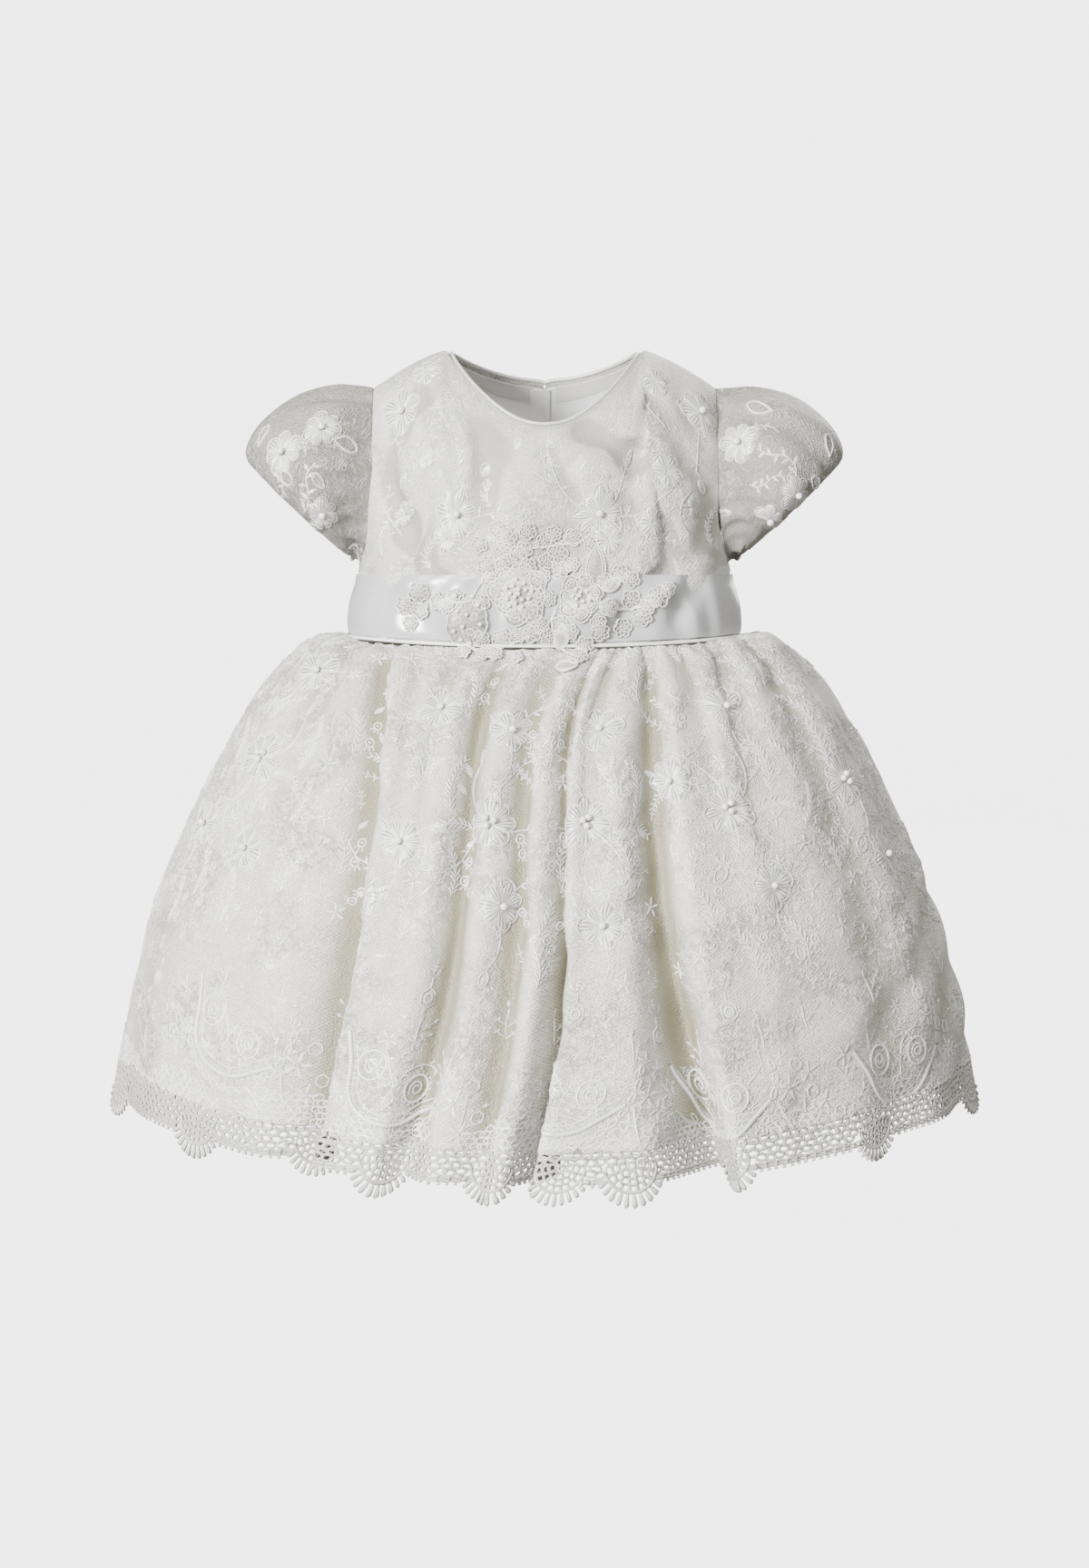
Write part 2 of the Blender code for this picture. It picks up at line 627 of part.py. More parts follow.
def sleeve_ring(side, ring, armhole_share, turn):
    """A point of a sleeve's ring. turn is 0 at the top, a quarter at the front and a half underneath."""
    tilt = math.radians(table_value(SLEEVE_RINGS, ring, 3))
    up, down, wide = (table_value(SLEEVE_RINGS, ring, k) for k in (4, 5, 6))
    cosine, sine = math.cos(turn), math.sin(turn)
    reach = (up if cosine > 0 else down) * cosine
    x = table_value(SLEEVE_RINGS, ring, 1) + reach * math.sin(tilt)
    z = table_value(SLEEVE_RINGS, ring, 2) + reach * math.cos(tilt)
    y = -wide * sine
    shaped = np.array([side * x, y, z])
    level = UNDERARM_LEVEL + (1 - UNDERARM_LEVEL) * (0.5 + 0.5 * cosine)
    edge = body_point(panel_edge(level), level, back=sine < 0)
    edge[0] = side * (edge[0] + SEAM_GAP + 0.1 * MM)
    if abs(sine) < 1e-6:
        edge[1] = 0
    return edge * armhole_share + shaped * (1 - armhole_share)


def make_sleeve(side, finish):
    turns = [2 * math.pi * k / SLEEVE_COLUMNS for k in range(SLEEVE_COLUMNS)]
    if side < 0:
        turns = [-t for t in turns]
    rows = []
    for row in SLEEVE_RINGS:
        near_seam = max(0.0, 1 - row[0] / 0.12)
        ring = []
        for k, turn in enumerate(turns):
            point = sleeve_ring(side, row[0], near_seam, turn)
            centre = np.array([side * row[1], 0, row[2]])
            out = point - centre
            out /= np.linalg.norm(out)
            ring.append(point + out * row[7] * (1 if k % 2 else -1))
        rows.append(ring)
    outer = np.array(rows)
    name = "sleeve_left" if side > 0 else "sleeve_right"
    inner = moved_out(outer, -SLEEVE_WALL, closed=True, seams=lambda i, j: {0} if i == 0 else ())
    wall(name, outer, inner, finish, closed=True)


def make_skirt(satin, lace):
    for name, places in halves_of_skirt():
        grid = np.array([[skirt_point(p, row) for p in places] for row in SKIRT_ROWS])
        grid = side_seam_shift(grid, SEAM_GAP / 2)
        last = grid.shape[1] - 1

        def held(i, j):
            return {1} if j in (0, last) else ()

        wall(f"skirt_satin_{name}", grid, moved_out(grid, -SATIN_WALL, seams=held), satin)
        under = moved_out(grid, SEAM_GAP, seams=held)
        over = moved_out(grid, SEAM_GAP + LACE_WALL, seams=held)
        wall(f"skirt_lace_{name}", over, under, lace)


def hem_places(start, end):
    """Places along a half's hem, evenly by length: a bar and a gap in turn. Also their lengths."""
    fine = np.linspace(start, end, 1500)
    points = np.array([skirt_point(p, EDGING_VALLEY) for p in fine])
    lengths = np.concatenate([[0], np.cumsum(np.linalg.norm(np.diff(points, axis=0), axis=1))])
    shares = [0.0]
    for k in range(GAPS_IN_A_ROW):
        shares.append((k + 0.5 * BAR_SHARE) / GAPS_IN_A_ROW)
        shares.append((k + 1 - 0.5 * BAR_SHARE) / GAPS_IN_A_ROW)
    shares.append(1.0)
    at = np.array(shares) * lengths[-1]
    return np.interp(at, lengths, fine), at


def fan_bulge(at, fans):
    """1 at the middle of a fan, falling to 0 at its sides and along the valleys."""
    off = min(abs(at - middle) for middle in fans) / FAN_HALF_WIDTH
    return math.cos(off * math.pi / 2) ** 0.7 if off < 1 else 0.0


def make_edging(finish):
    """The openwork edging: two rows of gaps over a scalloped foot."""
    for name, places in halves_of_skirt():
        columns, lengths = hem_places(places[0], places[-1])
        fans = FRONT_FANS if name == "front" else BACK_FANS
        rows = []
        for row in (EDGING_TOP, *UPPER_GAPS, *LOWER_GAPS, EDGING_VALLEY):
            run = []
            for place, at in zip(columns, lengths):
                drop = FAN_DROP * fan_bulge(at, fans)
                share = (row - UPPER_GAPS[1]) / (EDGING_VALLEY - UPPER_GAPS[1])
                run.append(skirt_point(place, row + drop * max(0.0, share) ** 2))
            rows.append(run)
        grid = side_seam_shift(np.array(rows), SEAM_GAP / 2)
        last = grid.shape[1] - 1

        def held(i, j):
            return {1} if j in (0, last) else ()

        holes = [(i, j) for i in (1, 3) for j in range(1, last, 2)]
        under = moved_out(grid, SEAM_GAP, seams=held)
        over = moved_out(grid, SEAM_GAP + LACE_WALL, seams=held)
        wall(f"lace_edging_{name}", over, under, finish, holes=holes)


def applique_reach(turn):
    """How far the spray reaches from its middle in this direction, between the rows of its table."""
    at = math.degrees(turn) % 360
    rows = [(r[0] - 360, r[1]) for r in APPLIQUE_OUTLINE[-1:]] + list(APPLIQUE_OUTLINE)
    rows.append((APPLIQUE_OUTLINE[0][0] + 360, APPLIQUE_OUTLINE[0][1]))
    return float(np.interp(at, [r[0] for r in rows], [r[1] for r in rows]))


def applique_relief(x, z):
    """How far the flowers of the spray stand up: a ring of petals round each middle."""
    raised = 0.0
    for flower_x, flower_z, radius in APPLIQUE_FLOWERS:
        off = math.hypot(x - flower_x, z - flower_z) / radius
        petals = 0.75 + 0.25 * math.cos(6 * math.atan2(z - flower_z, x - flower_x))
        raised = max(raised, PETAL_RELIEF * petals * math.exp(-((off - 0.62) ** 2) / 0.09))
    return raised


def make_applique(finish):
    """The corded flower spray at the front of the waist, lying on the bodice, the sash and the skirt."""
    rings = 5
    turns = [math.radians(row[0]) for row in APPLIQUE_OUTLINE]
    turns = sorted(turns + [(a + b) / 2 for a, b in zip(turns, turns[1:] + [turns[0] + 2 * math.pi])])
    directions = len(turns)
    lift = SEAM_GAP + APPLIQUE_CLEARANCE
    outer, inner = [], []
    for ring in range(rings + 1):
        share = max(ring / rings, 0.05)
        over, under = [], []
        for turn in turns:
            reach = applique_reach(turn) * share
            x = APPLIQUE_X + math.cos(turn) * reach
            z = APPLIQUE_Z + math.sin(turn) * reach
            foot, normal = front_surface(x, z)
            thick = APPLIQUE_WALL + (applique_relief(x, z) if ring < rings else 0.0)
            under.append(foot + normal * lift)
            over.append(foot + normal * (lift + thick))
        outer.append(over)
        inner.append(under)
    points = [np.mean(outer[0], axis=0), np.mean(inner[0], axis=0)]
    faces = []
    for sheet in (outer, inner):
        for run in sheet:
            points += run

    def number(side, ring, k):
        return 2 + side * (rings + 1) * directions + ring * directions + k % directions

    for k in range(directions):
        faces.append([0, number(0, 0, k), number(0, 0, k + 1)])
        faces.append([1, number(1, 0, k + 1), number(1, 0, k)])
        for ring in range(rings):
            for side in (0, 1):
                corners = [(ring, k), (ring + 1, k), (ring + 1, k + 1), (ring, k + 1)]
                if side:
                    corners.reverse()
                faces.append([number(side, *c) for c in corners])
        rim = [number(0, rings, k + 1), number(0, rings, k), number(1, rings, k), number(1, rings, k + 1)]
        faces.append(rim)
    add_mesh("sash_applique", points, faces, finish)


def front_surface(x, z):
    """The face that the spray lies on, and its outward normal: bodice, then sash, then skirt."""

    def foot(x, z):
        above = min(max((z - SASH_TOP_Z) / (6 * MM) - 0.7, 0.0), 1.0)
        on_cord = float(z < waist_z(x) + 2 * MM)
        out = (SEAM_GAP + SASH_WALL) * (1 - above) + 1.0 * MM * on_cord
        level = max(0.0, level_at(x, max(z, waist_z(x))))
        body = body_point(x, level, back=False)
        side = body_point(x + 1 * MM, level, back=False) - body_point(x - 1 * MM, level, back=False)
        body[1] -= out * math.hypot(side[0], side[1]) / side[0]
        if z >= waist_z(x):
            body[2] = z
            return body
        along = (waist_z(x) - z) * SKIRT_TOP_SLOPE
        half = table_value(SKIRT_PROFILE, along, 1)
        depth = table_value(SKIRT_PROFILE, along, 3)
        on_skirt = 2 * SEAM_GAP + LACE_WALL
        y = -depth * math.sqrt(max(0.0, 1 - (x / half) ** 2)) - on_skirt
        return np.array([x, min(y, body[1]), z])

    step = 1.5 * MM
    across = foot(x + step, z) - foot(x - step, z)
    down = foot(x, z - step) - foot(x, z + step)
    normal = np.cross(down, across)
    return foot(x, z), normal / np.linalg.norm(normal)


def make_buttons(finish):
    """Small covered buttons on the wearer's left half, beside the back opening."""
    for k, level in enumerate(BUTTON_LEVELS):
        foot = body_point(BUTTON_X, level, back=True)
        near = body_point(BUTTON_X, level + 0.02, back=True) - body_point(BUTTON_X, level - 0.02, back=True)
        out = np.array([0.0, near[2], -near[1]])
        out /= np.linalg.norm(out)
        bpy.ops.mesh.primitive_cylinder_add(
            vertices=14, radius=BUTTON_RADIUS, depth=BUTTON_HEIGHT,
            location=tuple(foot + out * (SEAM_GAP + 0.25 * MM + BUTTON_HEIGHT / 2)),
            rotation=(-math.atan2(out[1], out[2]), 0, 0),
        )
        button = bpy.context.object
        button.name = f"back_button_{k + 1}"
        bevel = button.modifiers.new("rounded_rim", "BEVEL")
        bevel.width = 1.1 * MM
        bevel.segments = 1
        bevel.limit_method = "ANGLE"
        button.data.materials.append(finish)


def main():
    clear_scene()
    lace_on_satin = material("lace_on_satin", (0.80, 0.79, 0.75), 0.45)
    satin = material("ivory_satin", (0.84, 0.83, 0.80), 0.30)
    white_satin = material("white_satin", (0.86, 0.86, 0.85), 0.28)
    lace = material("ivory_lace", (0.82, 0.80, 0.75), 0.65)
    grids = make_bodice(lace_on_satin, white_satin)
    make_placket(white_satin)
    make_neck_cord(grids, white_satin)
    make_sash(white_satin)
    for side in (1, -1):
        make_sleeve(side, lace_on_satin)
    make_skirt(satin, lace)
    make_edging(lace)
    make_applique(lace)
    make_buttons(white_satin)


main()
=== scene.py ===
import math

import bpy
import numpy as np
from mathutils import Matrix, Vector


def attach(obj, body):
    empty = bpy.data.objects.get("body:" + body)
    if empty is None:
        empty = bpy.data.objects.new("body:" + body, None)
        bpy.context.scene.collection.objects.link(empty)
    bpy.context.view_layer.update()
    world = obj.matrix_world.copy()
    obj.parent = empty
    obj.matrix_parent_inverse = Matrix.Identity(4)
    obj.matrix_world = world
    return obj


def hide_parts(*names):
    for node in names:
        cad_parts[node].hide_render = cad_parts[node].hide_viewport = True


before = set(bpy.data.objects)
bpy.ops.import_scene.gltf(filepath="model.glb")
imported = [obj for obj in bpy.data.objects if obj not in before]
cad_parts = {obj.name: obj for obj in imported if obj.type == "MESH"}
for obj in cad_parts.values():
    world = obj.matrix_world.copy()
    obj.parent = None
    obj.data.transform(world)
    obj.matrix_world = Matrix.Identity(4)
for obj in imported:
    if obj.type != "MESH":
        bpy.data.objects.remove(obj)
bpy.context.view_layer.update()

MM = 0.001

# ---- The studio ----
# The dress hangs in front of a pale seamless backdrop and is seen from straight in front, a little
# from above. A strong lamp stands at the front left, and weaker ones at the right, above and behind.
FRAME_WIDTH = 1200
FRAME_HEIGHT = 1728
PIXELS_PER_RADIAN = 3735.0
EYE = np.array([0.0, -1.9, -92.8 * MM])
AIM = np.array([0.0, 0.0, -231.5 * MM])
FLOOR_Z = -0.52
FLOOR_RADIUS = 3.2
WALL_RADIUS = 5.0
WALL_HEIGHT = 3.4
AMBIENT = 0.40
BACKDROP_GLOW = 4.25  # so strong that the lamps' pools of light don't show on it

forward = (AIM - EYE) / np.linalg.norm(AIM - EYE)
upward = np.cross(np.array([1.0, 0.0, 0.0]), forward)
camera_data = bpy.data.cameras.new("front_camera")
camera_data.sensor_width = 36.0
camera_data.lens = 36.0 * PIXELS_PER_RADIAN / FRAME_HEIGHT
camera = bpy.data.objects.new("front_camera", camera_data)
camera.location = EYE
camera.rotation_euler = Vector(forward).to_track_quat("-Z", "Y").to_euler()
scene = bpy.context.scene
scene.collection.objects.link(camera)
scene.camera = camera


def in_frame(points):
    """Where points land in the camera's frame, in pixels from its upper left, and how far off they are."""
    away = points - EYE
    depth = away @ forward
    across = FRAME_WIDTH / 2 + PIXELS_PER_RADIAN * away[..., 0] / depth
    down = FRAME_HEIGHT / 2 - PIXELS_PER_RADIAN * (away @ upward) / depth
    return across, down, depth


class Wire:
    """One output of a node. Arithmetic on wires adds the Math nodes that work it out."""

    def __init__(self, finish, socket):
        self.finish = finish
        self.socket = socket

    def math(self, operation, *others, reflected=False):
        values = (*others, self) if reflected else (self, *others)
        return self.finish.node("ShaderNodeMath", {"operation": operation}, dict(enumerate(values)))


# The four signs, and their reflected forms, so that a number can also stand first.
for sign, operation in (("add", "ADD"), ("sub", "SUBTRACT"), ("mul", "MULTIPLY"), ("truediv", "DIVIDE")):
    setattr(Wire, f"__{sign}__", lambda self, other, does=operation: self.math(does, other))
    setattr(Wire, f"__r{sign}__", lambda self, other, does=operation: self.math(does, other, reflected=True))


class Finish:
    """A material and its nodes."""

    def __init__(self, name, **sockets):
        self.material = bpy.data.materials.new(name)
        self.material.use_nodes = True
        self.tree = self.material.node_tree
        self.shader = self.tree.nodes["Principled BSDF"]
        self.fill(self.shader, {key.replace("_", " "): value for key, value in sockets.items()})

    def fill(self, node, values):
        for key, value in values.items():
            socket = node.inputs[key]
            if isinstance(value, Wire):
                self.tree.links.new(value.socket, socket)
            elif socket.type == "RGBA":
                socket.default_value = (*value, 1.0)
            else:
                socket.default_value = value

    def node(self, kind, settings=(), values=(), output=0):
        made = self.tree.nodes.new(kind)
        for key, value in dict(settings).items():
            setattr(made, key, value)
        self.fill(made, dict(values))
        return Wire(self, made.outputs[output])

    def between(self, share, first, second):
        """A colour that goes from the first to the second as share goes from 0 to 1."""
        settings = {"data_type": "RGBA", "clamp_factor": True}
        return self.node("ShaderNodeMix", settings, {0: share, 6: first, 7: second}, output=2)

    def step(self, value, low, high):
        """0 below low, 1 above high, and smooth between them."""
        settings = {"interpolation_type": "SMOOTHSTEP"}
        return self.node("ShaderNodeMapRange", settings, {0: value, 1: low, 2: high})

    def noise(self, place, scale, detail, **more):
        values = {"Vector": place, "Scale": scale, "Detail": detail, **more}
        return self.node("ShaderNodeTexNoise", values=values)

    def bump(self, strength, distance, height, **more):
        values = {"Strength": strength, "Distance": distance, "Height": height, **more}
        return self.node("ShaderNodeBump", values=values)

    def on_cloth(self):
        """How far along and down its cloth a point lies, its tone, and the first two as a vector. The tone is
        how far the point lies in a trough or crease, and sets the painted shade there.
        """
        place = self.node("ShaderNodeAttribute", {"attribute_name": "cloth"}, output=1)
        split = self.node("ShaderNodeSeparateXYZ", values={0: place}).socket.node
        across, down, tone = (Wire(self, out) for out in split.outputs)
        return across, down, tone, self.node("ShaderNodeCombineXYZ", values={0: across, 1: down})


def add_piece(name, points, faces, finish, cloth=None, sharp=None):
    """A mesh object. cloth holds a vector for each point: where it lies on its cloth, and a tone. The tone
    sets painted shade in troughs; on thread work all three hold the thread's painted brightness.
    """
    mesh = bpy.data.meshes.new(name)
    points = np.asarray(points, float).reshape(-1, 3)
    faces = np.asarray(faces)
    sides = faces.shape[1]
    mesh.vertices.add(len(points))
    mesh.vertices.foreach_set("co", points.ravel())
    mesh.loops.add(faces.size)
    mesh.loops.foreach_set("vertex_index", faces.ravel().astype(np.int32))
    mesh.polygons.add(len(faces))
    mesh.polygons.foreach_set("loop_start", (np.arange(len(faces)) * sides).astype(np.int32))
    mesh.update(calc_edges=True)
    mesh.validate()
    if cloth is not None:
        made = mesh.attributes.new("cloth", "FLOAT_VECTOR", "POINT")
        made.data.foreach_set("vector", np.asarray(cloth, float).ravel())
    mesh.shade_smooth()
    if sharp:
        mesh.set_sharp_from_angle(angle=math.radians(sharp))
    mesh.materials.append(finish.material)
    piece = bpy.data.objects.new(name, mesh)
    scene.collection.objects.link(piece)
    return piece


backdrop = Finish("pale_backdrop", Base_Color=(0.12, 0.12, 0.12), Roughness=0.9, Specular_IOR_Level=0.0)
shade = backdrop.node("ShaderNodeTexNoise", values={"Scale": 0.6, "Detail": 1.0})
backdrop.fill(backdrop.shader, {
    "Emission Color": backdrop.between(shade, (0.995, 0.995, 0.995), (1.0, 1.0, 1.0)),
    "Emission Strength": BACKDROP_GLOW,
})
turns = np.linspace(0, 2 * math.pi, 97)[:-1]
rise = np.linspace(0, math.pi / 2, 15)
radii = np.concatenate([[0.0, 1.0, 2.2], FLOOR_RADIUS + (WALL_RADIUS - FLOOR_RADIUS) * np.sin(rise)])
heights = np.concatenate([[0, 0, 0], WALL_HEIGHT * (1 - np.cos(rise))]) + FLOOR_Z
bowl = np.stack([
    np.outer(radii, np.cos(turns)), np.outer(radii, np.sin(turns)), np.repeat(heights[:, None], 96, 1)
], axis=2)
ring = np.arange(96)
beside = (ring + 1) % 96
rows = np.arange(len(radii) - 1)[:, None] * 96
bowl_faces = np.stack([rows + ring, rows + beside, rows + 96 + beside, rows + 96 + ring], axis=2)
bowl_faces = bowl_faces.reshape(-1, 4)
seamless = add_piece("backdrop", bowl, bowl_faces, backdrop)
seamless.visible_diffuse = False
seamless.visible_glossy = False

scene.world = bpy.data.worlds.new("pale_studio")
scene.world.use_nodes = True
background = scene.world.node_tree.nodes["Background"]
background.inputs[0].default_value = (1.0, 0.965, 0.88, 1.0)
background.inputs[1].default_value = AMBIENT

LIGHTS = (
    # name, place, size, watts
    ("key_light", (-1.85, -2.45, 0.45), 0.9, 325), ("fill_light", (1.9, -2.3, 0.5), 1.8, 13),
    ("top_light", (-0.4, -1.8, 1.6), 0.9, 52), ("back_light", (0.8, 2.4, 0.9), 2, 60),
)
for name, place, size, watts in LIGHTS:
    lamp_data = bpy.data.lights.new(name, "AREA")
    lamp_data.shape = "DISK"
    lamp_data.size = size
    lamp_data.energy = watts
    lamp = bpy.data.objects.new(name, lamp_data)
    lamp.location = place
    lamp.rotation_euler = (Vector((0, 0, -0.2)) - Vector(place)).to_track_quat("-Z", "Y").to_euler()
    scene.collection.objects.link(lamp)


# ---- Bodice panels ----
# A front cut in one and two back halves, of embroidered net mounted on soft satin and sewn in with
# it as one cloth. They join at the side seams and on the shoulder ridge, and hang in soft creases.
SEAM_GAP = 0.35 * MM
BODICE_WALL = 1.5 * MM
WAIST_SIDE_Z = -147.5 * MM
WAIST_DIP = 4.0 * MM
NECK_POINT_X = 55.0 * MM
NECK_POINT_Z = 10.7 * MM
SHOULDER_END_X = 95.0 * MM
SHOULDER_DROP = 21.0 * MM
SHOULDER_CURVE = 1.3
FRONT_NECK_Z = -33.5 * MM
BACK_NECK_Z = -5.0 * MM
BACK_CORNER = 6.0 * MM
BACK_GAP = 1.0 * MM
CHEST_LEVEL = 0.45
SHOULDER_ROUNDNESS = 2.4
BODY_SQUARENESS = 2.3
BODY_SECTIONS = tuple((level, *(value * MM for value in row)) for level, *row in (
    # level; half width, front, back in mm
    (0.00, 108.4, 66, 60), (0.12, 106, 66, 59.5), (0.24, 103.6, 66.3, 59), (0.45, 103, 67, 59.5),
    (0.75, 103, 66, 60), (1.00, 102, 64, 59),
))
UNDERARM_LEVEL = 0.27
ARMHOLE_EDGES = tuple((level, width * MM) for level, width in (
    # level; half width in mm
    (0.27, 103.5), (0.31, 101.6), (0.38, 98.6), (0.5, 96), (0.7, 94.5), (1.00, 95),
))
BODICE_CREASES = (
    # runs of x, z in mm, then how deep and how wide the crease is
    (((-85, -62), (-68, -100)), 1.8, 6), (((-37, -30), (-26, -83)), 1.7, 7.5),
    (((-1, -40), (12, -63), (20, -76)), 1.6, 6.5), (((12, -32), (49, -48), (66, -66)), 1.9, 7),
    (((-68, -11), (-57, -34)), 1.3, 6), (((66, -77), (71, -107)), 1.7, 6),
    (((-87, -52), (-80, -82), (-70, -104), (-58, -118)), 3.5, 6.9),
    (((-70, -60), (-63, -88), (-50, -112)), 1.4, 6.9),
    (((23, -34), (42, -47), (62, -54), (82, -58)), 2.7, 9.2),
    (((86, -62), (90, -82), (93, -100)), 3.5, 6.9), (((-25, -48), (-38, -70), (-42, -96)), 1.4, 11.5),
    (((48, -72), (58, -90), (66, -112)), 1.8, 9.2), (((10, -60), (6, -84), (14, -108)), 1.1, 11.5),
    (((70, -10), (78, -26), (84, -44)), 1.8, 6.9), (((-66, -8), (-76, -28), (-80, -44)), 1.6, 6.9),
)
BACK_CREASES = (
    # the same columns
    (((20, -30), (32, -60), (40, -96)), 2.2, 9.2), (((84, -54), (76, -84), (62, -110)), 3.2, 6.9),
    (((62, -20), (70, -44), (74, -70)), 1.9, 9.2), (((14, -70), (18, -96), (26, -112)), 1.6, 8),
    (((-22, -34), (-36, -62), (-40, -92)), 2.1, 9.2), (((-86, -56), (-78, -80), (-64, -112)), 3.2, 6.9),
    (((-58, -24), (-68, -50), (-72, -74)), 1.8, 9.2),
)


def curve(table, column, at):
    """A smooth curve through one column of a table whose first column is the place."""
    places = np.array([row[0] for row in table])
    values = np.array([row[column] for row in table])
    last = len(places) - 1
    low = np.maximum(np.arange(last + 1) - 1, 0)
    high = np.minimum(np.arange(last + 1) + 1, last)
    slopes = (values[high] - values[low]) / (places[high] - places[low])
    at = np.clip(at, places[0], places[-1])
    k = np.clip(np.searchsorted(places, at, side="right") - 1, 0, last - 1)
    span = places[k + 1] - places[k]
    share = (at - places[k]) / span
    square, cube = share**2, share**3
    return (
        values[k] * (2 * cube - 3 * square + 1)
        + slopes[k] * span * (cube - 2 * square + share)
        + values[k + 1] * (3 * square - 2 * cube)
        + slopes[k + 1] * span * (cube - square)
    )


def waist_z(x):
    return WAIST_SIDE_Z - WAIST_DIP * (1 - np.minimum(1.0, np.abs(x) / BODY_SECTIONS[0][1]) ** 2)


def ridge_z(x):
    beyond = np.maximum(0.0, (np.abs(x) - NECK_POINT_X) / (SHOULDER_END_X - NECK_POINT_X))
    return NECK_POINT_Z - SHOULDER_DROP * beyond**SHOULDER_CURVE


def level_at(x, z):
    return (z - waist_z(x)) / (ridge_z(x) - waist_z(x))


def body_point(x, level, back):
    """Points on the outer face of the bodice, at these x and levels, on its front or its back."""
    half = curve(BODY_SECTIONS, 1, level)
    depth = np.where(back, curve(BODY_SECTIONS, 3, level), curve(BODY_SECTIONS, 2, level))
    closing = np.clip((level - CHEST_LEVEL) / (1 - CHEST_LEVEL), 0, 1)
    closing = np.sqrt(1 - closing**SHOULDER_ROUNDNESS)
    share = np.minimum(1.0, np.abs(x) / half)
    y = depth * closing * (1 - share**BODY_SQUARENESS) ** (1 / BODY_SQUARENESS) + SEAM_GAP / 2
    z = waist_z(x) + (ridge_z(x) - waist_z(x)) * level
    return np.stack([x + 0 * y, np.where(back, y, -y), z + 0 * y], axis=-1)


def panel_edge(level):
    """The half width of a panel: to the side seam below the underarm, to the armhole above it."""
    return np.where(level <= UNDERARM_LEVEL, curve(BODY_SECTIONS, 1, level), curve(ARMHOLE_EDGES, 1, level))


def neck_z(x, back):
    low = BACK_NECK_Z if back else FRONT_NECK_Z
    at = low + (NECK_POINT_Z - low) * np.minimum(1.0, np.abs(x) / NECK_POINT_X) ** 2
    if back:
        # The corners beside the back opening are rounded off.
        off = np.clip(1 - np.abs(x) / BACK_CORNER, 0, 1)
        at = at - 2.2 * MM * (1 - np.sqrt(1 - off**2))
    return at


def bodice_panel(shares, levels, back):
    """Rows from the neckline and shoulder down to the waist seam, columns from side to side."""
    x = shares * SHOULDER_END_X
    top = np.where(np.abs(x) >= NECK_POINT_X - 0.1 * MM, 1.0, level_at(x, neck_z(x, back)))
    level = levels[:, None] * top[None, :]
    crowd = np.maximum(0.0, 1 - level / 0.6)
    across = (1 - crowd) * shares + crowd * np.sin(shares * math.pi / 2)
    return body_point(panel_edge(level) * across, level, back)


def unit(vectors):
    return vectors / np.linalg.norm(vectors, axis=-1, keepdims=True)


def normals_of(grid, closed=False):
    """Outward normals at the points of a grid. Rows run down the cloth, columns to the viewer's right."""
    if closed:
        across = np.roll(grid, -1, axis=1) - np.roll(grid, 1, axis=1)
    else:
        across = np.gradient(grid, axis=1)
    normal = np.cross(np.gradient(grid, axis=0), across)
    return normal / np.maximum(np.linalg.norm(normal, axis=2, keepdims=True), 1e-12)


def grid_faces(rows, columns, closed=False, start=0, looped=False):
    """The faces of a grid of points numbered row by row. Looped joins its last row to its first."""
    i = np.arange(rows if looped else rows - 1)[:, None] * columns
    j = np.arange(columns if closed else columns - 1)[None, :]
    below, beside = (i + columns) % (rows * columns), (j + 1) % columns
    return np.stack((i + j, below + j, below + beside, i + beside), axis=2).reshape(-1, 4) + start


def laid_out(grid):
    """How far each point of a cloth lies along its row and down its column, from the first."""
    along, down = np.zeros((2, *grid.shape[:2]))
    along[:, 1:] = np.cumsum(np.linalg.norm(np.diff(grid, axis=1), axis=2), axis=1)
    down[1:] = np.cumsum(np.linalg.norm(np.diff(grid, axis=0), axis=2), axis=0)
    return along, down


def fit(piece, slot, stands_for=None, **cut):
    """Puts a piece on the dress, and hides the solid that it stands for. The finish slot and the flat cut of
    its cloth are not used.
    """
    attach(piece, "root")
    if stands_for:
        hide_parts(stands_for)
    return piece


def add_cloth(name, grid, thick, finish, closed=False, tone=None):
    """A sheet with an outer face on the grid, an inner face this far behind it, and its rims."""
    rows, columns = grid.shape[:2]
    inner = grid - normals_of(grid, closed) * thick
    count = rows * columns
    outside = grid_faces(rows, columns, closed)
    numbers = np.arange(count).reshape(rows, columns)
    upper, lower, left, right = numbers[0], numbers[-1], numbers[:, 0], numbers[:, -1]
    if closed:
        edges = (np.append(upper, upper[0]), True), (np.append(lower, lower[0]), False)
    else:
        edges = (upper, False), (lower, True), (left, False), (right, True)
    faces = [outside, outside[:, ::-1] + count]
    for edge, flip in edges:
        rim = np.stack([edge[:-1], edge[1:], edge[1:] + count, edge[:-1] + count], axis=1)
        faces.append(rim[:, ::-1] if flip else rim)
    faces = np.concatenate(faces)
    across, down = laid_out(grid)
    place = np.zeros((rows, columns, 3))
    place[..., 0] = np.median(across - across[:, columns // 2:columns // 2 + 1], axis=0)
    place[..., 1] = down.mean(axis=1, keepdims=True)
    place[..., 2] = 0 if tone is None else tone
    place = place.reshape(-1, 3)
    return add_piece(
        name, np.concatenate([grid.reshape(-1, 3), inner.reshape(-1, 3)]), faces, finish,
        cloth=np.concatenate([place, place]), sharp=55,
    )


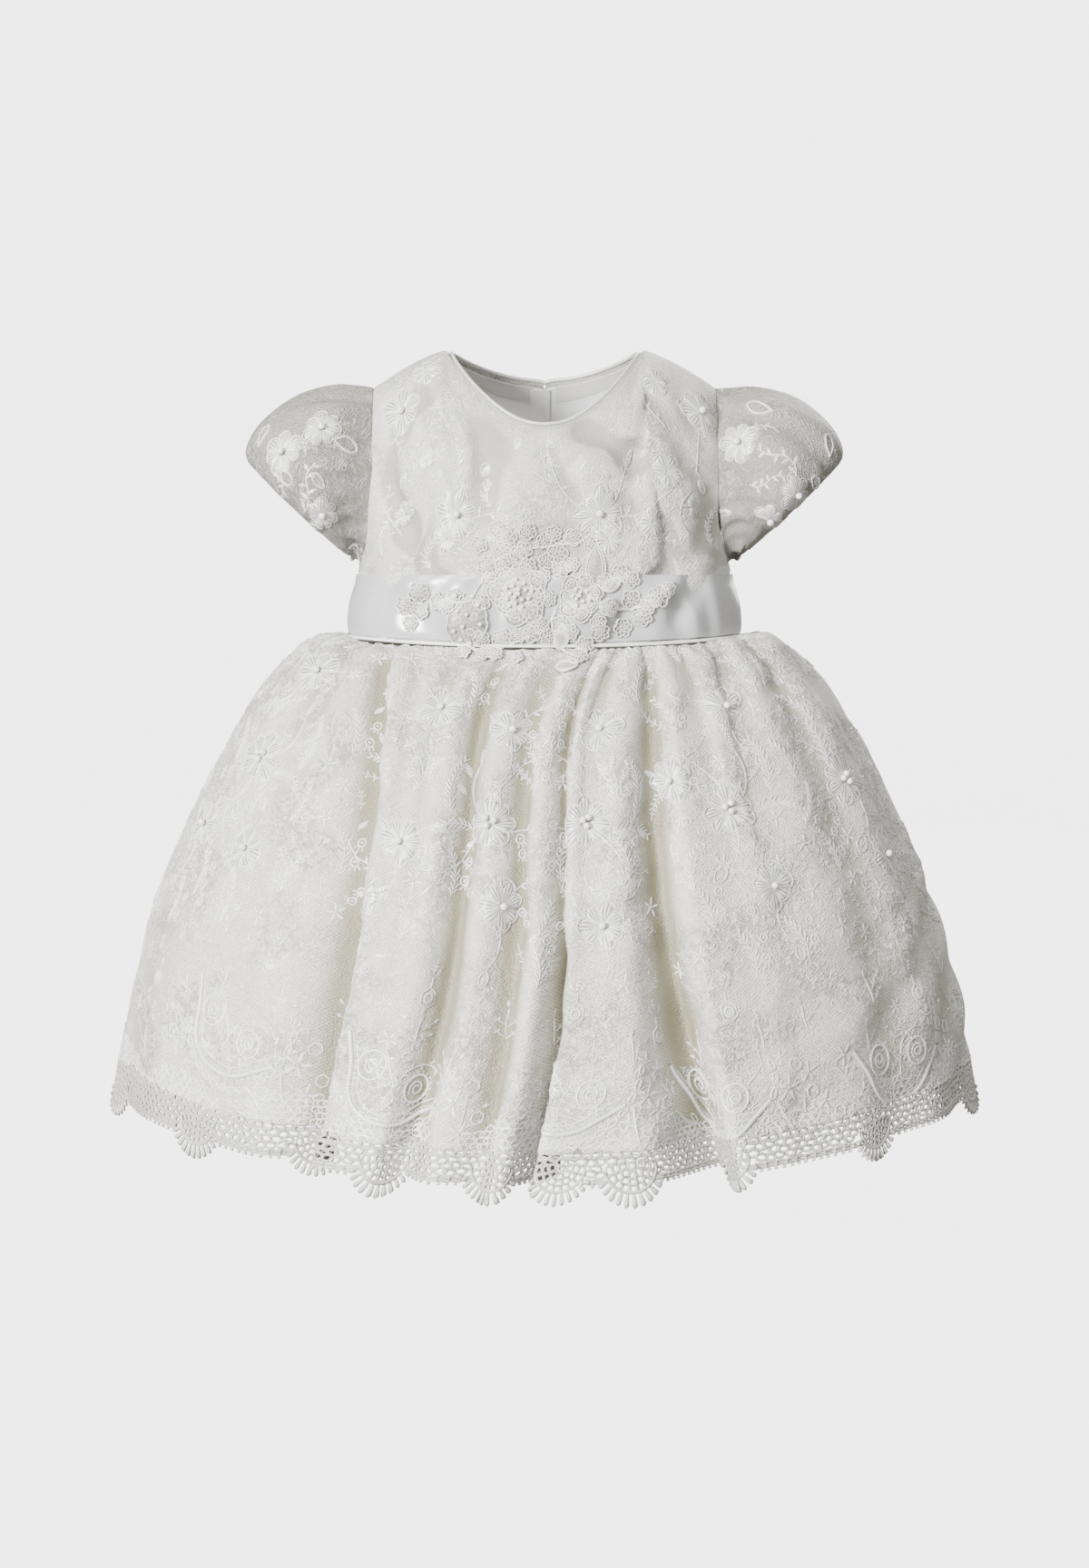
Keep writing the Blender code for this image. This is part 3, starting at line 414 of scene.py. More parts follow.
def crease(grid, runs):
    """The grid with soft troughs pressed in along runs of x and z."""
    x, z = grid[..., 0] / MM, grid[..., 2] / MM
    depth = np.zeros(x.shape)
    for run, deep, wide in runs:
        off = np.full(x.shape, 1e9)
        ends = np.zeros(x.shape)
        total = len(run) - 1
        for k, (start, end) in enumerate(zip(run, run[1:])):
            start, step = np.array(start, float), np.array(end, float) - np.array(start, float)
            share = np.clip(((x - start[0]) * step[0] + (z - start[1]) * step[1]) / (step @ step), 0, 1)
            away = np.hypot(x - start[0] - share * step[0], z - start[1] - share * step[1])
            ends = np.where(away < off, (k + share) / total, ends)
            off = np.minimum(off, away)
        fade = np.sin(np.clip(ends, 0.04, 0.96) * math.pi) ** 0.6
        depth += deep * fade * (np.exp(-(off / wide) ** 2) - 0.45 * np.exp(-((off - 1.7 * wide) / wide) ** 2))
    return grid - normals_of(grid) * depth[..., None] * MM


def dented(grid, deep, pitch, seed, share=1.0):
    """The grid with shallow uneven dents and swellings about this far apart, as soft cloth has."""
    across, down = laid_out(grid)
    chance = np.random.default_rng(seed)
    rise = np.zeros(grid.shape[:2])
    for _ in range(14):
        heading, length = chance.uniform(0, math.pi), pitch * chance.uniform(0.6, 2.2)
        way = (across * math.cos(heading) + down * 0.7 * math.sin(heading)) * 2 * math.pi / length
        rise += np.sin(way + chance.uniform(0, 6.3)) * length / pitch
    return grid + normals_of(grid) * (rise / 4 * deep * share)[..., None]


NET_SWAY = 0.25  # of a hole's height, how far its threads bow
FINE_FROST = (0.58, 1.34)  # how dull and how bright the satin's specks are through fine net


def net_over(finish, under, thread, wide, high, strength, frost, trough_shade_colour=None, clumps=0.35):
    """The look of fine net on satin: wavy threads that meet in small lens-shaped holes."""
    across, down, tone, flat = finish.on_cloth()
    down = down + finish.noise(flat, 60.0, 1.0) * (0.9 * MM)
    sway = (across * (2 * math.pi / wide)).math("SINE") * NET_SWAY
    threads = None
    for offset, side in ((0.0, 1.0), (0.5, -1.0)):
        height = down / high + offset + sway * side
        off = (height.math("FRACT") - 0.5).math("ABSOLUTE")
        line = finish.step(off, 0.30, 0.46)
        threads = line if threads is None else threads.math("MAXIMUM", line)
    blotch = finish.noise(flat, 75.0, 4.0)
    speck = finish.step(finish.noise(flat, 1000.0, 4.0), 0.34, 0.66)
    dull, bright = (tuple(c * share for c in under) for share in frost)
    # The colour varies in soft patches and fine specks: partly uneven net and satin, and partly painted
    # sheen, the satin's patchy bright reflection.
    base = finish.between(speck * 0.7 + blotch * 0.6 - 0.15, dull, bright)
    # Fine loose cords wander over the net in patches, between the flowers; elsewhere it is plain.
    patch = finish.step(finish.noise(flat, 26.0, 1.5, Distortion=0.6), 0.44, 0.6)
    wander = finish.noise(flat, 105.0, 1.6, Distortion=0.8)
    winding = ((wander * 7.0).math("FRACT") - 0.5).math("ABSOLUTE")
    winding = finish.step(winding, 0.3, 0.46) * (0.3 + 0.7 * patch)
    # Painted shade: in the troughs of the folds the colour turns to a darker, warmer shade, and the net's
    # threads and loose cords fade out there.
    if trough_shade_colour:
        base = finish.between(finish.step(tone, 0.0, 1.0), base, trough_shade_colour)
        threads = threads * (1.0 - tone * 0.92)
        winding = winding * (1.0 - tone)
    colour = finish.between(threads * strength, base, thread)
    colour = finish.between(winding * 0.6, colour, tuple(c * 1.22 for c in thread))
    # Painted shade: the net is coloured darker in the small curled gaps between clumps of stitches.
    clump = finish.noise(flat, 250.0, 2.5, Distortion=1.3)
    clump = 1.0 - (1.0 - finish.step(clump, 0.4, 0.6)) * (0.12 + 0.88 * patch)
    shade = tuple(c * 0.34 for c in under)
    colour = finish.between((1.0 - clump) * clumps * (1.0 - tone * 0.8), colour, shade)
    height = threads * 0.7 + speck * 0.8 + winding * 1.6 + clump * clumps * 1.5
    bump = finish.bump(0.85, 0.42 * MM, height)
    swell = finish.noise(flat, 62.0, 2.0) * (1.0 - tone * 0.8)
    bump = finish.bump(0.6, 2.6 * MM, swell, Normal=bump)
    finish.fill(finish.shader, {
        "Base Color": colour,
        "Roughness": 0.16 + blotch * 0.42 + threads * 0.1,
        "Normal": bump,
        "Sheen Weight": 0.06,
        "Sheen Roughness": 0.4,
        "Specular IOR Level": 1.0,
    })
    return finish


# Painted shade: the last colour is the darker, warmer colour painted into the dips of the creases.
bodice_net = net_over(
    Finish("net_on_bodice_satin"), (0.68, 0.665, 0.61), (0.92, 0.91, 0.87), 2.4 * MM, 1.9 * MM, 0.4,
    frost=FINE_FROST, trough_shade_colour=(0.38, 0.367, 0.32),
)
levels = np.linspace(1, 0, 64)
flat_front = bodice_panel(np.linspace(-1, 1, 121), levels, back=False)
front_grid = crease(flat_front, BODICE_CREASES)
steps = (np.arange(count) for count in front_grid.shape[:2])
edge_share = np.outer(*(np.clip(np.minimum(at, at[::-1]) / 7.0, 0, 1) for at in steps))
front_grid = dented(front_grid, 0.8 * MM, 26 * MM, 4, edge_share)
# Painted shade: the net is coloured darker and warmer in the dips of the creases, the more so the deeper they
# are.
crease_shade = np.clip(((flat_front - front_grid) * normals_of(flat_front)).sum(axis=2) / (1.5 * MM) + 0.15, 0, 1)
back_shares = np.concatenate([[BACK_GAP / 2 / SHOULDER_END_X], np.linspace(0.012, 1, 72)])
left_grid = crease(bodice_panel(back_shares, levels, back=True)[:, ::-1], BACK_CREASES)
right_grid = crease(bodice_panel(-back_shares, levels, back=True), BACK_CREASES)
for node, grid, tone, flat in (
    ("bodice_front", front_grid, crease_shade, (0.26, 0.165)),
    ("bodice_back_left", left_grid, None, (0.13, 0.165)),
    ("bodice_back_right", right_grid, None, (0.13, 0.165)),
):
    panel = add_cloth(f"{node}_cloth", grid, BODICE_WALL, bodice_net, tone=tone)
    fit(panel, "lace_on_satin", node, flat=flat, held="gathered", area=flat[0] * flat[1] * 0.88)


# ---- Back lining, neck facing and underlap ----
# The back halves are lined with bright satin, faced below the neck with a strip of the same, and a
# satin underlap closes the gap in the middle. They are bagged out, so only their edges show stitching.
LINING_WALL = 0.8 * MM
FACING_WIDTH = 11.0 * MM
FACING_TOP = 0.6 * MM
PLACKET_LEFT = 3.0 * MM
PLACKET_RIGHT = 8.0 * MM
PLACKET_DROP = 2.5 * MM


def satin(name, colour, shade, gloss=0.27, trough_shade_colour=None, ripple=1.0):
    """Smooth woven satin: a close diagonal twill, a little colour variation and a soft bright sheen."""
    finish = Finish(name)
    _, _, tone, place = finish.on_cloth()
    weave = finish.node(
        "ShaderNodeTexWave", {"wave_type": "BANDS", "bands_direction": "DIAGONAL"},
        {"Vector": place, "Scale": 620.0, "Distortion": 1.2, "Detail": 1.0},
    )
    slub, swell = finish.noise(place, 30.0, 3.0), finish.noise(place, 17.0, 1.0)
    base = finish.between(slub, colour, shade)
    # Painted shade: in the troughs of the folds the colour turns to a darker, warmer shade.
    if trough_shade_colour:
        base = finish.between(tone, base, trough_shade_colour)
    fine = finish.bump(0.25, 0.06 * MM, weave)
    soft = finish.bump(0.5 * ripple, 1.2 * MM, swell, Normal=fine)
    finish.fill(finish.shader, {
        "Base Color": base,
        "Roughness": gloss + slub * 0.08,
        "Normal": soft,
        "Sheen Weight": 0.2,
        "Sheen Roughness": 0.35,
        "Specular IOR Level": 1.0,
    })
    return finish


def lengths_of(run):
    """How far along a run each of its points lies."""
    return np.concatenate([[0], np.cumsum(np.linalg.norm(np.diff(run, axis=0), axis=1))])


white_satin = satin("white_lining_satin", (0.97, 0.97, 0.97), (0.93, 0.93, 0.93))
facing_satin = satin("grey_facing_satin", (0.88, 0.87, 0.84), (0.78, 0.77, 0.74))
for side, grid in (("left", left_grid), ("right", right_grid)):
    normals = normals_of(grid)
    outer = grid - normals * (BODICE_WALL + SEAM_GAP)
    levels_down = lengths_of(outer[:, 48])
    start = int(np.searchsorted(levels_down, 1.2 * MM))
    kept = outer[start::2, 1:-1:2]
    swells = 0.35 * MM * np.sin(np.linspace(0, 31, kept.shape[1]))[None, :] * np.ones((kept.shape[0], 1))
    below = np.linspace(0, levels_down[-1], kept.shape[0])[:, None] - 14 * MM
    swells = swells * np.clip(below / (12 * MM), 0, 1)
    kept = kept - normals_of(kept) * np.abs(swells)[..., None]
    lining = add_cloth(f"back_lining_{side}_satin", kept, LINING_WALL, white_satin)
    cut = {"flat": (0.13, 0.163), "held": "gathered", "area": 0.13 * 0.163 * 0.86}
    fit(lining, "white_satin", f"back_lining_{side}", **cut)

    # The facing follows the neckline, 1 cm wide, and stops short of the opening and of the shoulder.
    columns = [j for j in range(grid.shape[1]) if 6.0 * MM < abs(grid[0, j, 0]) < 51.0 * MM]
    rows = []
    for share in np.linspace(0, 1, 9):
        behind = grid - normals * (BODICE_WALL + (2.2 - share**4) * SEAM_GAP + LINING_WALL)
        at = 1.2 * MM + FACING_TOP + share * FACING_WIDTH
        rows.append([
            [np.interp(at, lengths_of(behind[:, j]), behind[:, j, k]) for k in range(3)] for j in columns
        ])
    facing = add_cloth(f"neck_facing_{side}_satin", np.array(rows), 0.25 * MM, facing_satin)
    fit(facing, "white_satin", f"neck_facing_{side}", flat=(0.046, 0.011), held="stretched")

top = level_at(0.0, BACK_NECK_Z - PLACKET_DROP)
columns = np.linspace(PLACKET_LEFT, -PLACKET_RIGHT, 9)
rows = np.linspace(1.0, 0.02, 60) * top
flap = body_point(columns[None, :] + 0 * rows[:, None], rows[:, None] + 0 * columns[None, :], back=True)
flap = flap - normals_of(flap) * (BODICE_WALL + LINING_WALL + 2.4 * SEAM_GAP)
underlap = add_cloth("back_underlap", flap, 0.4 * MM, white_satin)
fit(underlap, "white_satin", "back_placket", flat=(0.011, 0.145), held="hung")


# ---- Neck piping ----
# A thin cord covered in bias satin, sewn all round the neckline. Its ends turn in at the middle of
# the back, beside the opening, and its bias cover shows a faint slanting twist.
NECK_CORD_RADIUS = 1.0 * MM


def headings(run, closed=False):
    along = np.roll(run, -1, axis=0) - np.roll(run, 1, axis=0) if closed else np.gradient(run, axis=0)
    return along / np.maximum(np.linalg.norm(along, axis=1, keepdims=True), 1e-9)


def add_cord(name, run, radius, finish, sides=8, closed=False):
    """A round cord along a run of points, its ends closed with a small dome. Its sides are an even number."""
    run = np.asarray(run, float)
    along = headings(run, closed)
    side = unit(np.cross(along, np.array([0.12, 0.25, 0.96])))
    other = np.cross(along, side)
    radii = np.full(len(run), radius)
    if not closed:
        ends = np.array([0.25, 0.7])
        first = run[0] - along[0] * radius * np.array([[0.95], [0.6]])
        last = run[-1] + along[-1] * radius * np.array([[0.6], [0.95]])
        run = np.concatenate([first, run, last])
        radii = np.concatenate([radius * ends, radii, radius * ends[::-1]])
        side, other = (np.pad(way, ((2, 2), (0, 0)), "edge") for way in (side, other))
    turn = np.arange(sides) * 2 * math.pi / sides
    ring = side[:, None] * np.cos(turn)[None, :, None] + other[:, None] * np.sin(turn)[None, :, None]
    points = run[:, None] + ring * radii[:, None, None]
    place = np.zeros((len(run), sides, 3))
    place[..., 0], place[..., 1] = lengths_of(run)[:, None], turn * radius
    faces = grid_faces(len(run), sides, True, looped=closed)
    if not closed:
        tip = (len(run) - 1) * sides
        caps = [[k, k + 1, sides - 2 - k, sides - 1 - k] for k in range(sides // 2 - 1)]
        faces = np.concatenate([faces, np.array(caps)[:, ::-1], np.array(caps) + tip])
    return add_piece(name, points, faces, finish, cloth=place)


def neck_edge(grid, reach):
    """The middle of a panel's upper edge inside the neck, and the direction into the neck opening."""
    normals = normals_of(grid)[0]
    edge = grid[0] - normals * BODICE_WALL / 2
    inward = unit(np.cross(normals, np.gradient(edge, axis=0)))
    sign = np.sign((inward * (np.array([0, 0, 30 * MM]) - edge)).sum(axis=1))[:, None]
    kept = np.abs(edge[:, 0]) <= reach
    return edge[kept] + (inward * sign)[kept] * (NECK_CORD_RADIUS + SEAM_GAP)


run = np.concatenate([
    neck_edge(left_grid, NECK_POINT_X - 0.1 * MM)[::-1],
    neck_edge(front_grid, NECK_POINT_X)[::-1],
    neck_edge(right_grid, NECK_POINT_X - 0.1 * MM)[::-1],
])
run = run[np.concatenate([[True], np.linalg.norm(np.diff(run, axis=0), axis=1) > 0.3 * MM])]
for _ in range(3):
    run[1:-1] = (run[:-2] + 2 * run[1:-1] + run[2:]) / 4
# Painted shade: the neck piping's white bias satin is given a greyer colour than the white waist piping.
shaded_piping_satin = satin("bias_piping_satin_painted_shade", (0.62, 0.615, 0.585), (0.54, 0.535, 0.505), gloss=0.30, ripple=0.3)
neck_cord = add_cord("neck_piping", run, NECK_CORD_RADIUS, shaded_piping_satin, sides=10)
fit(neck_cord, "white_satin", "neck_cord")


# ---- Puff sleeves ----
# Each sleeve is cut wide from the same net on satin, gathered into the armhole at its head and drawn
# in by a narrow casing at its foot, so that it stands out in a puff with soft folds at both ends.
SLEEVE_WALL = 1.2 * MM
HEM_RADIUS = 0.95 * MM
SLEEVE_RINGS = tuple((share, tilt, *(value * MM for value in row)) for share, tilt, *row in (
    # share of the way to the cuff, tilt in degrees; mm: centre x, z, reach up, down and sideways, gather
    (0.00, 4, 99, -58, 46, 46, 33, 0), (0.14, 4, 109.5, -58, 48, 47, 41, 1.3),
    (0.34, 17, 121, -61, 49, 46, 47, 1), (0.56, 31, 130, -66, 47, 43.5, 48.5, 0.8),
    (0.76, 41, 135.5, -72, 43.5, 40.5, 45.5, 1.1), (0.9, 46, 137.5, -77, 38.5, 35.5, 38.5, 1.4),
    (1.00, 47, 135, -80, 31, 28.5, 31, 0.9),
))
SLEEVE_FOLDS = (
    # degrees from the top over the front, shares of the start and end, depth in mm, width in degrees
    (24, 0.02, 0.62, 3.4, 9), (52, 0.04, 0.9, 3.8, 13), (8, 0.02, 0.4, 2, 7), (74, 0.35, 1.00, 3.2, 11),
    (96, 0.00, 0.55, 2.6, 10), (118, 0.3, 1.00, 2.6, 10), (140, 0.02, 0.7, 2, 9),
    (160, 0.4, 1.00, 2.2, 9), (188, 0.1, 0.9, 1.8, 10), (214, 0.4, 1.00, 2.4, 9),
    (238, 0.02, 0.62, 2.6, 11), (262, 0.3, 1.00, 2.8, 10), (288, 0.02, 0.75, 3, 10),
    (312, 0.4, 1.00, 2.4, 11), (334, 0.02, 0.52, 3.2, 9),
)


def sleeve_grid(side, rings, columns):
    """Rings from the armhole to the cuff, columns to the viewer's right as seen from outside."""
    turn = 2 * math.pi * np.arange(columns) / columns
    turn = turn if side > 0 else -turn
    ring, turn = rings[:, None] + 0 * turn[None], turn[None] + 0 * rings[:, None]
    tilt, centre_x, centre_z, up, down, wide, gather = (curve(SLEEVE_RINGS, k, ring) for k in range(1, 8))
    tilt = np.radians(tilt)
    cosine, sine = np.cos(turn), np.sin(turn)
    reach = np.where(cosine > 0, up, down) * cosine
    shaped = np.stack([
        side * (centre_x + reach * np.sin(tilt)), -wide * sine, centre_z + reach * np.cos(tilt)
    ], axis=2)
    level = UNDERARM_LEVEL + (1 - UNDERARM_LEVEL) * (0.5 + 0.5 * cosine)
    edge = body_point(panel_edge(level), level, back=sine < 0)
    edge[..., 0] = side * (edge[..., 0] + SEAM_GAP + 0.1 * MM)
    near = np.maximum(0.0, 1 - ring / 0.12)[..., None]
    near = near * near * (3 - 2 * near)
    grid = edge * near + shaped * (1 - near)
    out = unit(grid - np.stack([side * centre_x, 0 * centre_x, centre_z], axis=2))
    gathers = gather * np.sin(turn * 19 + 1.3 * np.sin(3 * turn)) * 0.8
    gathers *= np.clip(np.abs(ring - 0.5) / 0.35, 0.15, 1)
    folds = 0 * ring
    front = np.degrees(turn if side > 0 else -turn) % 360
    for at, start, end, deep, wide in SLEEVE_FOLDS:
        at = at + (7 if side < 0 else 0)
        lean = (ring - 0.5) * 16
        off = (front - at - lean + 180) % 360 - 180
        share = np.clip((ring - start) / (end - start), 0, 1)
        if 0.02 < start and end < 1:
            fade = np.sin(share * math.pi) ** 0.7
        else:
            fade = np.cos(share * math.pi / 2) if end < 1 else np.sin(share * math.pi / 2)
        fade = fade * np.clip(ring / 0.06, 0, 1)
        trough, banks = np.exp(-((off / wide) ** 2)), np.exp(-((np.abs(off) - 1.5 * wide) / wide) ** 2)
        folds += deep * 0.8 * MM * fade * (0.5 * banks - trough)
    return grid + out * (gathers + folds)[..., None]


sleeve_grids = {}
# Painted shade: the sleeves' net and satin are given far darker colours than the same cloth on the bodice.
shaded_sleeve_net = net_over(
    Finish("net_on_sleeve_satin_painted_shade"), (0.27, 0.255, 0.22), (0.48, 0.47, 0.435), 2.3 * MM, 1.8 * MM, 0.35,
    frost=FINE_FROST,
)
stretches = ((0, 0.14, 11), (0.14, 0.88, 26), (0.88, 1, 11))
rings = np.concatenate([np.linspace(*stretch)[:-1] for stretch in stretches] + [[1.0]])
for side, name in ((1, "left"), (-1, "right")):
    grid = sleeve_grid(side, rings, 150)[:, ::-1]
    sleeve_grids[name] = grid
    sleeve = add_cloth(f"sleeve_{name}_cloth", grid, SLEEVE_WALL, shaded_sleeve_net, closed=True)
    cut = {"flat": (0.30, 0.095), "held": "gathered", "area": 0.30 * 0.095 * 0.8}
    fit(sleeve, "lace_on_satin", f"sleeve_{name}", **cut)
    # The casing that draws in the foot of the sleeve: a narrow rolled hem.
    inner = grid[-1] - normals_of(grid, closed=True)[-1] * SLEEVE_WALL
    middle = (grid[-1] + inner) / 2
    casing = add_cord(f"sleeve_{name}_rolled_hem", middle, HEM_RADIUS, shaded_sleeve_net, closed=True)
    fit(casing, "lace_on_satin")


# ---- Skirt: satin underskirt and net overskirt ----
# Two wide lengths of soft ivory satin, joined at the sides, gathered into the waist seam and spread
# in deep uneven folds. Over them, on the same gathers, lies a skirt of fine embroidered net.
SATIN_WALL = 1.0 * MM
LACE_WALL = 1.0 * MM
SATIN_HEM = 285 * MM
FOLD_DRIFT = 45 * MM
FOLD_END = 316 * MM
SKIRT_PROFILE = tuple(tuple(value * MM for value in row) for row in (
    # mm: along the cloth from the waist; side x, z; front y, z; back y
    (0, 108.4, -151, 66.5, -154.4, 60.5), (10, 118, -148.6, 73.2, -160.8, 67.6),
    (22, 129.4, -150.4, 82, -169.2, 76.6), (38, 142.6, -160, 92.4, -181.2, 87.8),
    (60, 157.4, -176.6, 105.5, -199, 101.4), (88, 173.1, -199.5, 120.5, -223.2, 117),
    (118, 187.5, -225.7, 134.5, -249.7, 131), (152, 201.6, -256.6, 148.2, -280.8, 145),
    (188, 214.8, -290.4, 161, -314.4, 158), (224, 225.8, -324.3, 171.7, -348.8, 169),
    (258, 233.4, -357.5, 180.4, -381.6, 178), (288, 238.6, -387, 187, -410.9, 185),
    (316, 242.6, -414.6, 192.4, -437.3, 190),
))
GATHERS = (
    # waist_deg, hem_deg, depth near the waist, half way and at the hem in mm, lean, and bow_deg
    (-82, -74, 4, 1.5, 4, 0, 0), (-66, -46, 5, 1.2, 0.5, 0, 0), (-48.8, -32.4, 6, 13, 26, 0.3, 3.6),
    (-34, -27.8, 5, 1, 0, 0, 4.5), (-20, -25.8, 5, 1, 0, 0, 5.5), (-7, -20.5, 6, 14, 14, 0.3, 6.2),
    (6, -8.8, 5.5, 9, 8, 0, 5), (13.5, -4.3, 5.5, 10, 46, 0.5, 5.5), (19.5, 0.2, 5, 1.5, 0, 0, 5.5),
    (26, 22.7, 6, 16, 34, 0.4, -6.5), (38, 29, 5, 1.2, 0, 0, 0), (52, 33.5, 5, 1.2, 1, 0, 3),
    (68, 51, 5.5, 3, 4, 0, 3), (84, 72, 5, 2, 5, 0, 0), (99, 95, 5, 3, 4, 0, 0),
    (110.5, 110, 6, 9, 16, 0.2, 0), (121.5, 121.5, 5, 3, 2, 0, 0), (132.5, 132, 6, 14, 32, 0.3, 0),
    (143.5, 143, 5, 3, 0, 0, 0), (154, 153, 6, 11, 34, -0.3, 0), (164.5, 164.5, 5, 3, 2, 0, 0),
    (175, 175.5, 6, 15, 42, 0.4, 0), (185.5, 187, 5, 3, 0, 0, 0), (196, 198, 6, 10, 26, 0.3, 0),
    (207, 208.5, 5, 3, 2, 0, 0), (218, 219, 6, 14, 36, -0.35, 0), (229.5, 231, 5, 3, 0, 0, 0),
    (241, 243, 6, 9, 18, -0.2, 0), (252.5, 256, 5, 3, 4, 0, 0), (264, 268.5, 4, 3, 6, 0, 0),
)
DEPTH_PLACES = (0, 20 * MM, 70 * MM, 150 * MM, 230 * MM, FOLD_END)


def fold_bearings(places, alongs):
    """How far round the skirt places lie in degrees, at distances down the cloth from the waist."""
    count, table = len(GATHERS), np.array(GATHERS)
    whole = np.floor(places).astype(int)
    drift = np.exp(-alongs / FOLD_DRIFT)[:, None]
    angles = table[None, :, 1] + (table[None, :, 0] - table[None, :, 1]) * drift
    angles = angles + table[None, :, 6] * np.sin(math.pi * np.minimum(alongs / FOLD_END, 1.0))[:, None]
    start, end = (angles[:, at % count] + 360 * (at // count)[None, :] for at in (whole, whole + 1))
    return start + (end - start) * (places - whole)[None, :]


def skirt_points(places, alongs):
    """Points on the outer face of the satin skirt. A place is whole at a trough, a half on a ridge."""
    count, table = len(GATHERS), np.array(GATHERS)
    whole = np.floor(places).astype(int)
    share = (places - whole)[None, :]
    first, second = whole % count, (whole + 1) % count
    near, middle, hem = (table[:, k] * MM for k in (2, 3, 4))
    stops = [near * 0 + 0.8 * MM, near, 0.45 * near + 0.55 * middle, middle, (middle + hem) / 2, hem]
    stops = np.stack(stops)
    depths = np.stack([np.interp(alongs, DEPTH_PLACES, stops[:, k]) for k in range(count)], axis=1)
    nearest = np.where(share < 0.5, first[None, :], second[None, :])
    depth = np.take_along_axis(depths, np.repeat(nearest, len(alongs), 0), axis=1)
    lean = table[:, 5][nearest]
    bowl = 0.5 + 0.5 * np.cos(2 * math.pi * share)
    fold = depth * bowl
    angle = np.radians(fold_bearings(places, alongs))
    sine, cosine = np.sin(angle), np.cos(angle)
    half, side_z, front_y, middle_z, back_y = (curve(SKIRT_PROFILE, k, alongs)[:, None] for k in range(1, 6))
    reach = np.where(cosine > 0, front_y, back_y)
    squareness = 2 / (2.0 + 0.3 * np.exp(-alongs / FOLD_DRIFT)[:, None])
    x = half * np.copysign(np.abs(sine) ** squareness, sine)
    y = -reach * np.copysign(np.abs(cosine) ** squareness, cosine)
    out = unit(np.stack([x / half**2, y / reach**2], axis=2))
    z = side_z * sine**2 + middle_z * cosine**2
    tucked = lean * depth * bowl
    points = np.stack([
        x - fold * out[..., 0] - tucked * out[..., 1], y - fold * out[..., 1] + tucked * out[..., 0], z
    ], axis=2)
    # The second value is how far a point lies in a deep trough; it sets how much shade is painted there.
    narrow = np.clip(depth / (7 * MM), 0, 1)
    return points, narrow * np.clip((bowl - 0.2) / 0.62, 0, 1)


# The side seams, as places round the skirt.
fine = np.linspace(-2.0, len(GATHERS) + 1.0, 70001)
seams = np.interp((-90.0, 90.0, 270.0), fold_bearings(fine, np.array([SATIN_HEM]))[0], fine)
skirt_rows = np.concatenate([np.linspace(0, 60, 19)[:-1], np.linspace(60, 285, 45)]) * MM
halves = {}
for name, start, end in (("front", *seams[:2]), ("back", *seams[1:])):
    coarse = np.linspace(start, end, 3001)
    hem, _ = skirt_points(coarse, np.array([0.6 * SATIN_HEM]))
    lengths = lengths_of(hem[0])
    halves[name] = np.interp(np.linspace(0, lengths[-1], 281), lengths, coarse)

# Painted shade: both cloths turn to their last, darker warm colour in the troughs of the folds.
underskirt_satin = satin(
    "ivory_skirt_satin", (0.60, 0.585, 0.545), (0.57, 0.555, 0.515), gloss=0.3, trough_shade_colour=(0.50, 0.475, 0.40)
)
skirt_net = net_over(
    Finish("net_on_skirt_satin"), (0.60, 0.575, 0.49), (0.97, 0.96, 0.91), 2.6 * MM, 1.9 * MM, 0.8,
    trough_shade_colour=(0.235, 0.213, 0.13), frost=(0.6, 1.3), clumps=0.55,
)
skirt_grids, skirt_tones = {}, {}
for name, places in halves.items():
    grid, tone = skirt_points(places, skirt_rows)
    # Small waves between the gathers, so that the folds are not too smooth.
    ripple = 0.45 * MM * np.sin(places * 5.1 * math.pi)[None, :] * np.exp(-skirt_rows / (60 * MM))[:, None]
    grid = dented(grid + normals_of(grid) * ripple[..., None], 0.75 * MM, 42 * MM, 7)
    inner = grid[::2, ::2]
    satin_skirt = add_cloth(f"underskirt_{name}", inner, SATIN_WALL, underskirt_satin, tone=tone[::2, ::2])
    over = grid + normals_of(grid) * (SEAM_GAP + LACE_WALL)
    skirt_grids[name], skirt_tones[name] = over, tone
    net_skirt = add_cloth(f"net_overskirt_{name}", over, 0.5 * MM, skirt_net, tone=tone)
    for piece, cloth in ((satin_skirt, "satin"), (net_skirt, "lace")):
        cut = {"flat": (0.90, 0.285), "held": "gathered", "area": 0.90 * 0.285 * 0.82}
        fit(piece, f"ivory_{cloth}", f"skirt_{cloth}_{name}", **cut)


# ---- Embroidery on the skirt ----
# Glossy white thread worked on the net: flowers in satin stitch with pearls at their middles, vines
# with slanting leaves, ring buds, and near the hem large scallops in laddered cord with small roses.
def sample(field, row, column):
    """Values of a grid between its points."""
    row = np.clip(row, 0, field.shape[0] - 1.001)
    column = np.clip(column, 0, field.shape[1] - 1.001)
    i, j = row.astype(int), column.astype(int)
    down, along = row - i, column - j
    if field.ndim == 3:
        down, along = down[:, None], along[:, None]
    upper = field[i, j] * (1 - along) + field[i, j + 1] * along
    lower = field[i + 1, j] * (1 - along) + field[i + 1, j + 1] * along
    return upper * (1 - down) + lower * down


